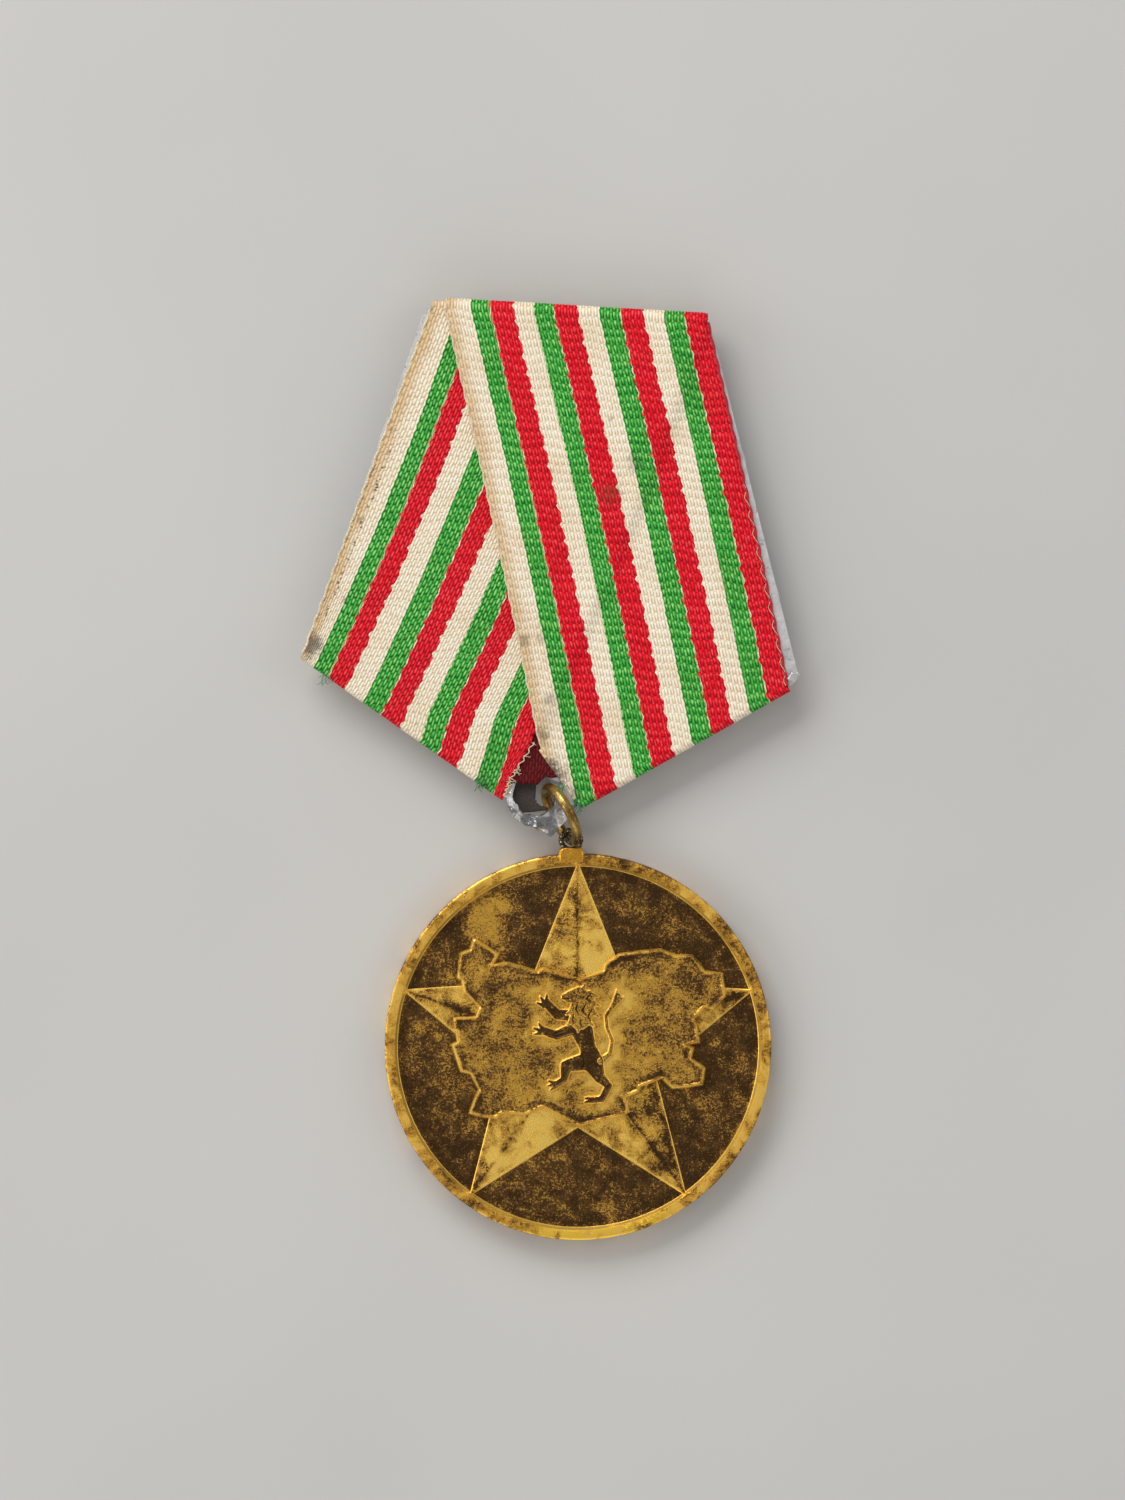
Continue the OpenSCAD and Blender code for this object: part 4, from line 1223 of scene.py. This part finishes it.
# corner of the sheet bent up over the ribbon
tab_pts = []
na, nb = 9, 9
for i in range(na):
    for j in range(nb):
        a, b = i / (na - 1), j / (nb - 1)
        e0 = Vector((23.25, -9.15, 2.95)) * (1 - a) + Vector((22.72, -10.05, 2.95)) * a
        e1 = Vector((23.2, -9.3, 3.62)) * (1 - a) + Vector((22.8, -9.95, 3.62)) * a
        q = e0 * (1 - b) + e1 * b
        bow = math.sin(math.pi * b) * 0.2
        q = q + Vector((0.85 * bow, -0.35 * bow, 0))
        tab_pts.append((*S(q.x - 0.55 * b * b, q.y + 0.12 * b * b), q.z))
corner = mesh_piece("plate_corner_tab", tab_pts, grid_faces(na, nb), "ribbon_mount", [alu], "aluminium_plate")
modifier(corner, "SUBSURF", levels=1, render_levels=2)
modifier(corner, "SOLIDIFY", thickness=0.0003, offset=0.0)

# ---------------------------------------------------------------- wire ring and ear
brass = brass_wire()


def ring_mesh(name, centre, axis_rot, major, minor, body, nseg, nsid, grime, slot="brass_wire", squash=1.0, flat_top=0.0):
    verts, att = [], []
    for i in range(nseg):
        a = 2 * math.pi * i / nseg
        for j in range(nsid):
            b = 2 * math.pi * j / nsid
            w = minor * (1 + 0.035 * mnoise.noise(Vector((3 * math.cos(a), 3 * math.sin(a), 1.0))))
            q = Vector(((major + w * math.cos(b)) * math.cos(a), (major + w * math.cos(b)) * math.sin(a), w * math.sin(b) * squash))
            q = axis_rot @ q
            if flat_top and q.z > 0:
                q = q - Vector((0.857, 0.515, 0)) * (flat_top * q.z)
            q = q + Vector(centre)
            verts.append(tuple(q))
            att.append(grime(q))
    return mesh_piece(name, verts, grid_faces(nseg, nsid, True, True), body, [brass], slot, attrs={"grime": att})


from mathutils import Matrix
ROT = Matrix.Rotation(math.radians(31), 3, "Z") @ Matrix.Rotation(math.radians(16), 3, "Y") @ Matrix.Rotation(math.radians(90), 3, "Y")
RC = (*S(2.05, -23.6), 3.1323)
ring = ring_mesh("wire_ring", RC, ROT, 2.78, 0.46, "ring", 180, 20,
                 lambda q: max(0.0, min(1.0, (-(q.y - OY) - 24.6) / 1.4)) * 0.8)
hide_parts("suspension_ring")
EC = (*S(3.06, -25.92), 2.0)
ear = ring_mesh("wire_ear", EC, Matrix.Identity(3), 0.9, 0.25, "medal", 96, 14, lambda q: 0.85)
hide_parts("medal_ear")
# solder where the ear meets the rim
blob = []
for i in range(16):
    for j in range(9):
        a, b = 2 * math.pi * i / 16, math.pi * j / 8
        r = 1 + 0.12 * mnoise.noise(Vector((math.cos(a) * 2, math.sin(a) * 2, b * 2)))
        blob.append((EC[0] + 0.06 + 0.78 * r * math.sin(b) * math.cos(a), EC[1] - 0.98 + 0.26 * r * math.sin(b) * math.sin(a),
                     2.18 + 0.26 * r * math.cos(b)))
solder = mesh_piece("ear_solder", blob, grid_faces(16, 9, True, False), "medal", [brass], "brass_wire",
                    attrs={"grime": [0.9] * len(blob)})

# ---------------------------------------------------------------- brooch parts keep their CAD shapes
brooch = steel()


def paint(node, mat):
    for o in bpy.data.objects:
        if o.type == "MESH" and o.name.split(".")[0] == node:
            if not o.material_slots:
                o.data.materials.append(mat)
            for s in o.material_slots:
                s.link = "OBJECT"
                s.material = mat


for n in ("brooch_bar", "pin_catch", "pin_stem", "hinge_rivet"):
    paint(n, brooch)
for n in ("brooch_rivets",):
    paint(n, alu)

# ---------------------------------------------------------------- floor, lights, camera
paper = Mat("paper")
n1 = paper.noise(0.012, 3, 0.5)
n2 = paper.noise(2.2, 3, 0.6)
paper.set(Base_Color=paper.mix(paper.smooth(n1, 0.3, 0.7), lin(200, 199, 197), lin(206, 205, 203)),
          Roughness=0.9, Specular_IOR_Level=0.2, Normal=paper.bump(n2, 0.03, 0.25))
floor_me = bpy.data.meshes.new("floor")
floor_me.from_pydata([(-1.5, -1.5, 0), (1.5, -1.5, 0), (1.5, 1.5, 0), (-1.5, 1.5, 0)], [], [(0, 1, 2, 3)])
floor = bpy.data.objects.new("floor", floor_me)
floor_me.materials.append(paper.m)
bpy.context.scene.collection.objects.link(floor)

world = bpy.data.worlds.new("studio")
bpy.context.scene.world = world
world.use_nodes = True
bg = world.node_tree.nodes["Background"]
bg.inputs[0].default_value = (1.0, 0.99, 0.97, 1)
bg.inputs[1].default_value = 0.36


def area(name, loc, target, size, power, col=(1, 1, 1)):
    li = bpy.data.lights.new(name, "AREA")
    li.shape = "RECTANGLE"
    li.size, li.size_y = size
    li.energy = power
    li.color = col
    o = bpy.data.objects.new(name, li)
    o.location = loc
    o.rotation_euler = (Vector(target) - Vector(loc)).to_track_quat("-Z", "Y").to_euler()
    bpy.context.scene.collection.objects.link(o)
    return o


area("key", (-0.36, 0.60, 0.5), (0, 0, 0), (0.7, 0.45), 4.95, (1.0, 0.985, 0.955))
area("fill", (0.66, 0.15, 0.42), (0, 0, 0), (0.5, 0.5), 0.8, (0.98, 0.985, 1.0))
area("front", (0.0, -0.7, 0.42), (0, 0, 0), (0.8, 0.4), 1.1, (1.0, 0.98, 0.95))
area("side", (-0.7, -0.1, 0.34), (0, 0, 0), (0.6, 0.4), 1.7, (1.0, 0.98, 0.95))

cam_data = bpy.data.cameras.new("camera")
cam_data.lens = 154.8
cam_data.sensor_width = 36.0
cam_data.sensor_fit = "AUTO"
cam_data.clip_start, cam_data.clip_end = 0.01, 10
cam = bpy.data.objects.new("camera", cam_data)
cam.location = (0.0018, 0.002275, 0.6025)
cam.rotation_euler = (0, 0, math.radians(3.28))
bpy.context.scene.collection.objects.link(cam)
bpy.context.scene.camera = cam
bpy.context.scene.view_settings.view_transform = "Standard"
bpy.context.scene.view_settings.look = "None"
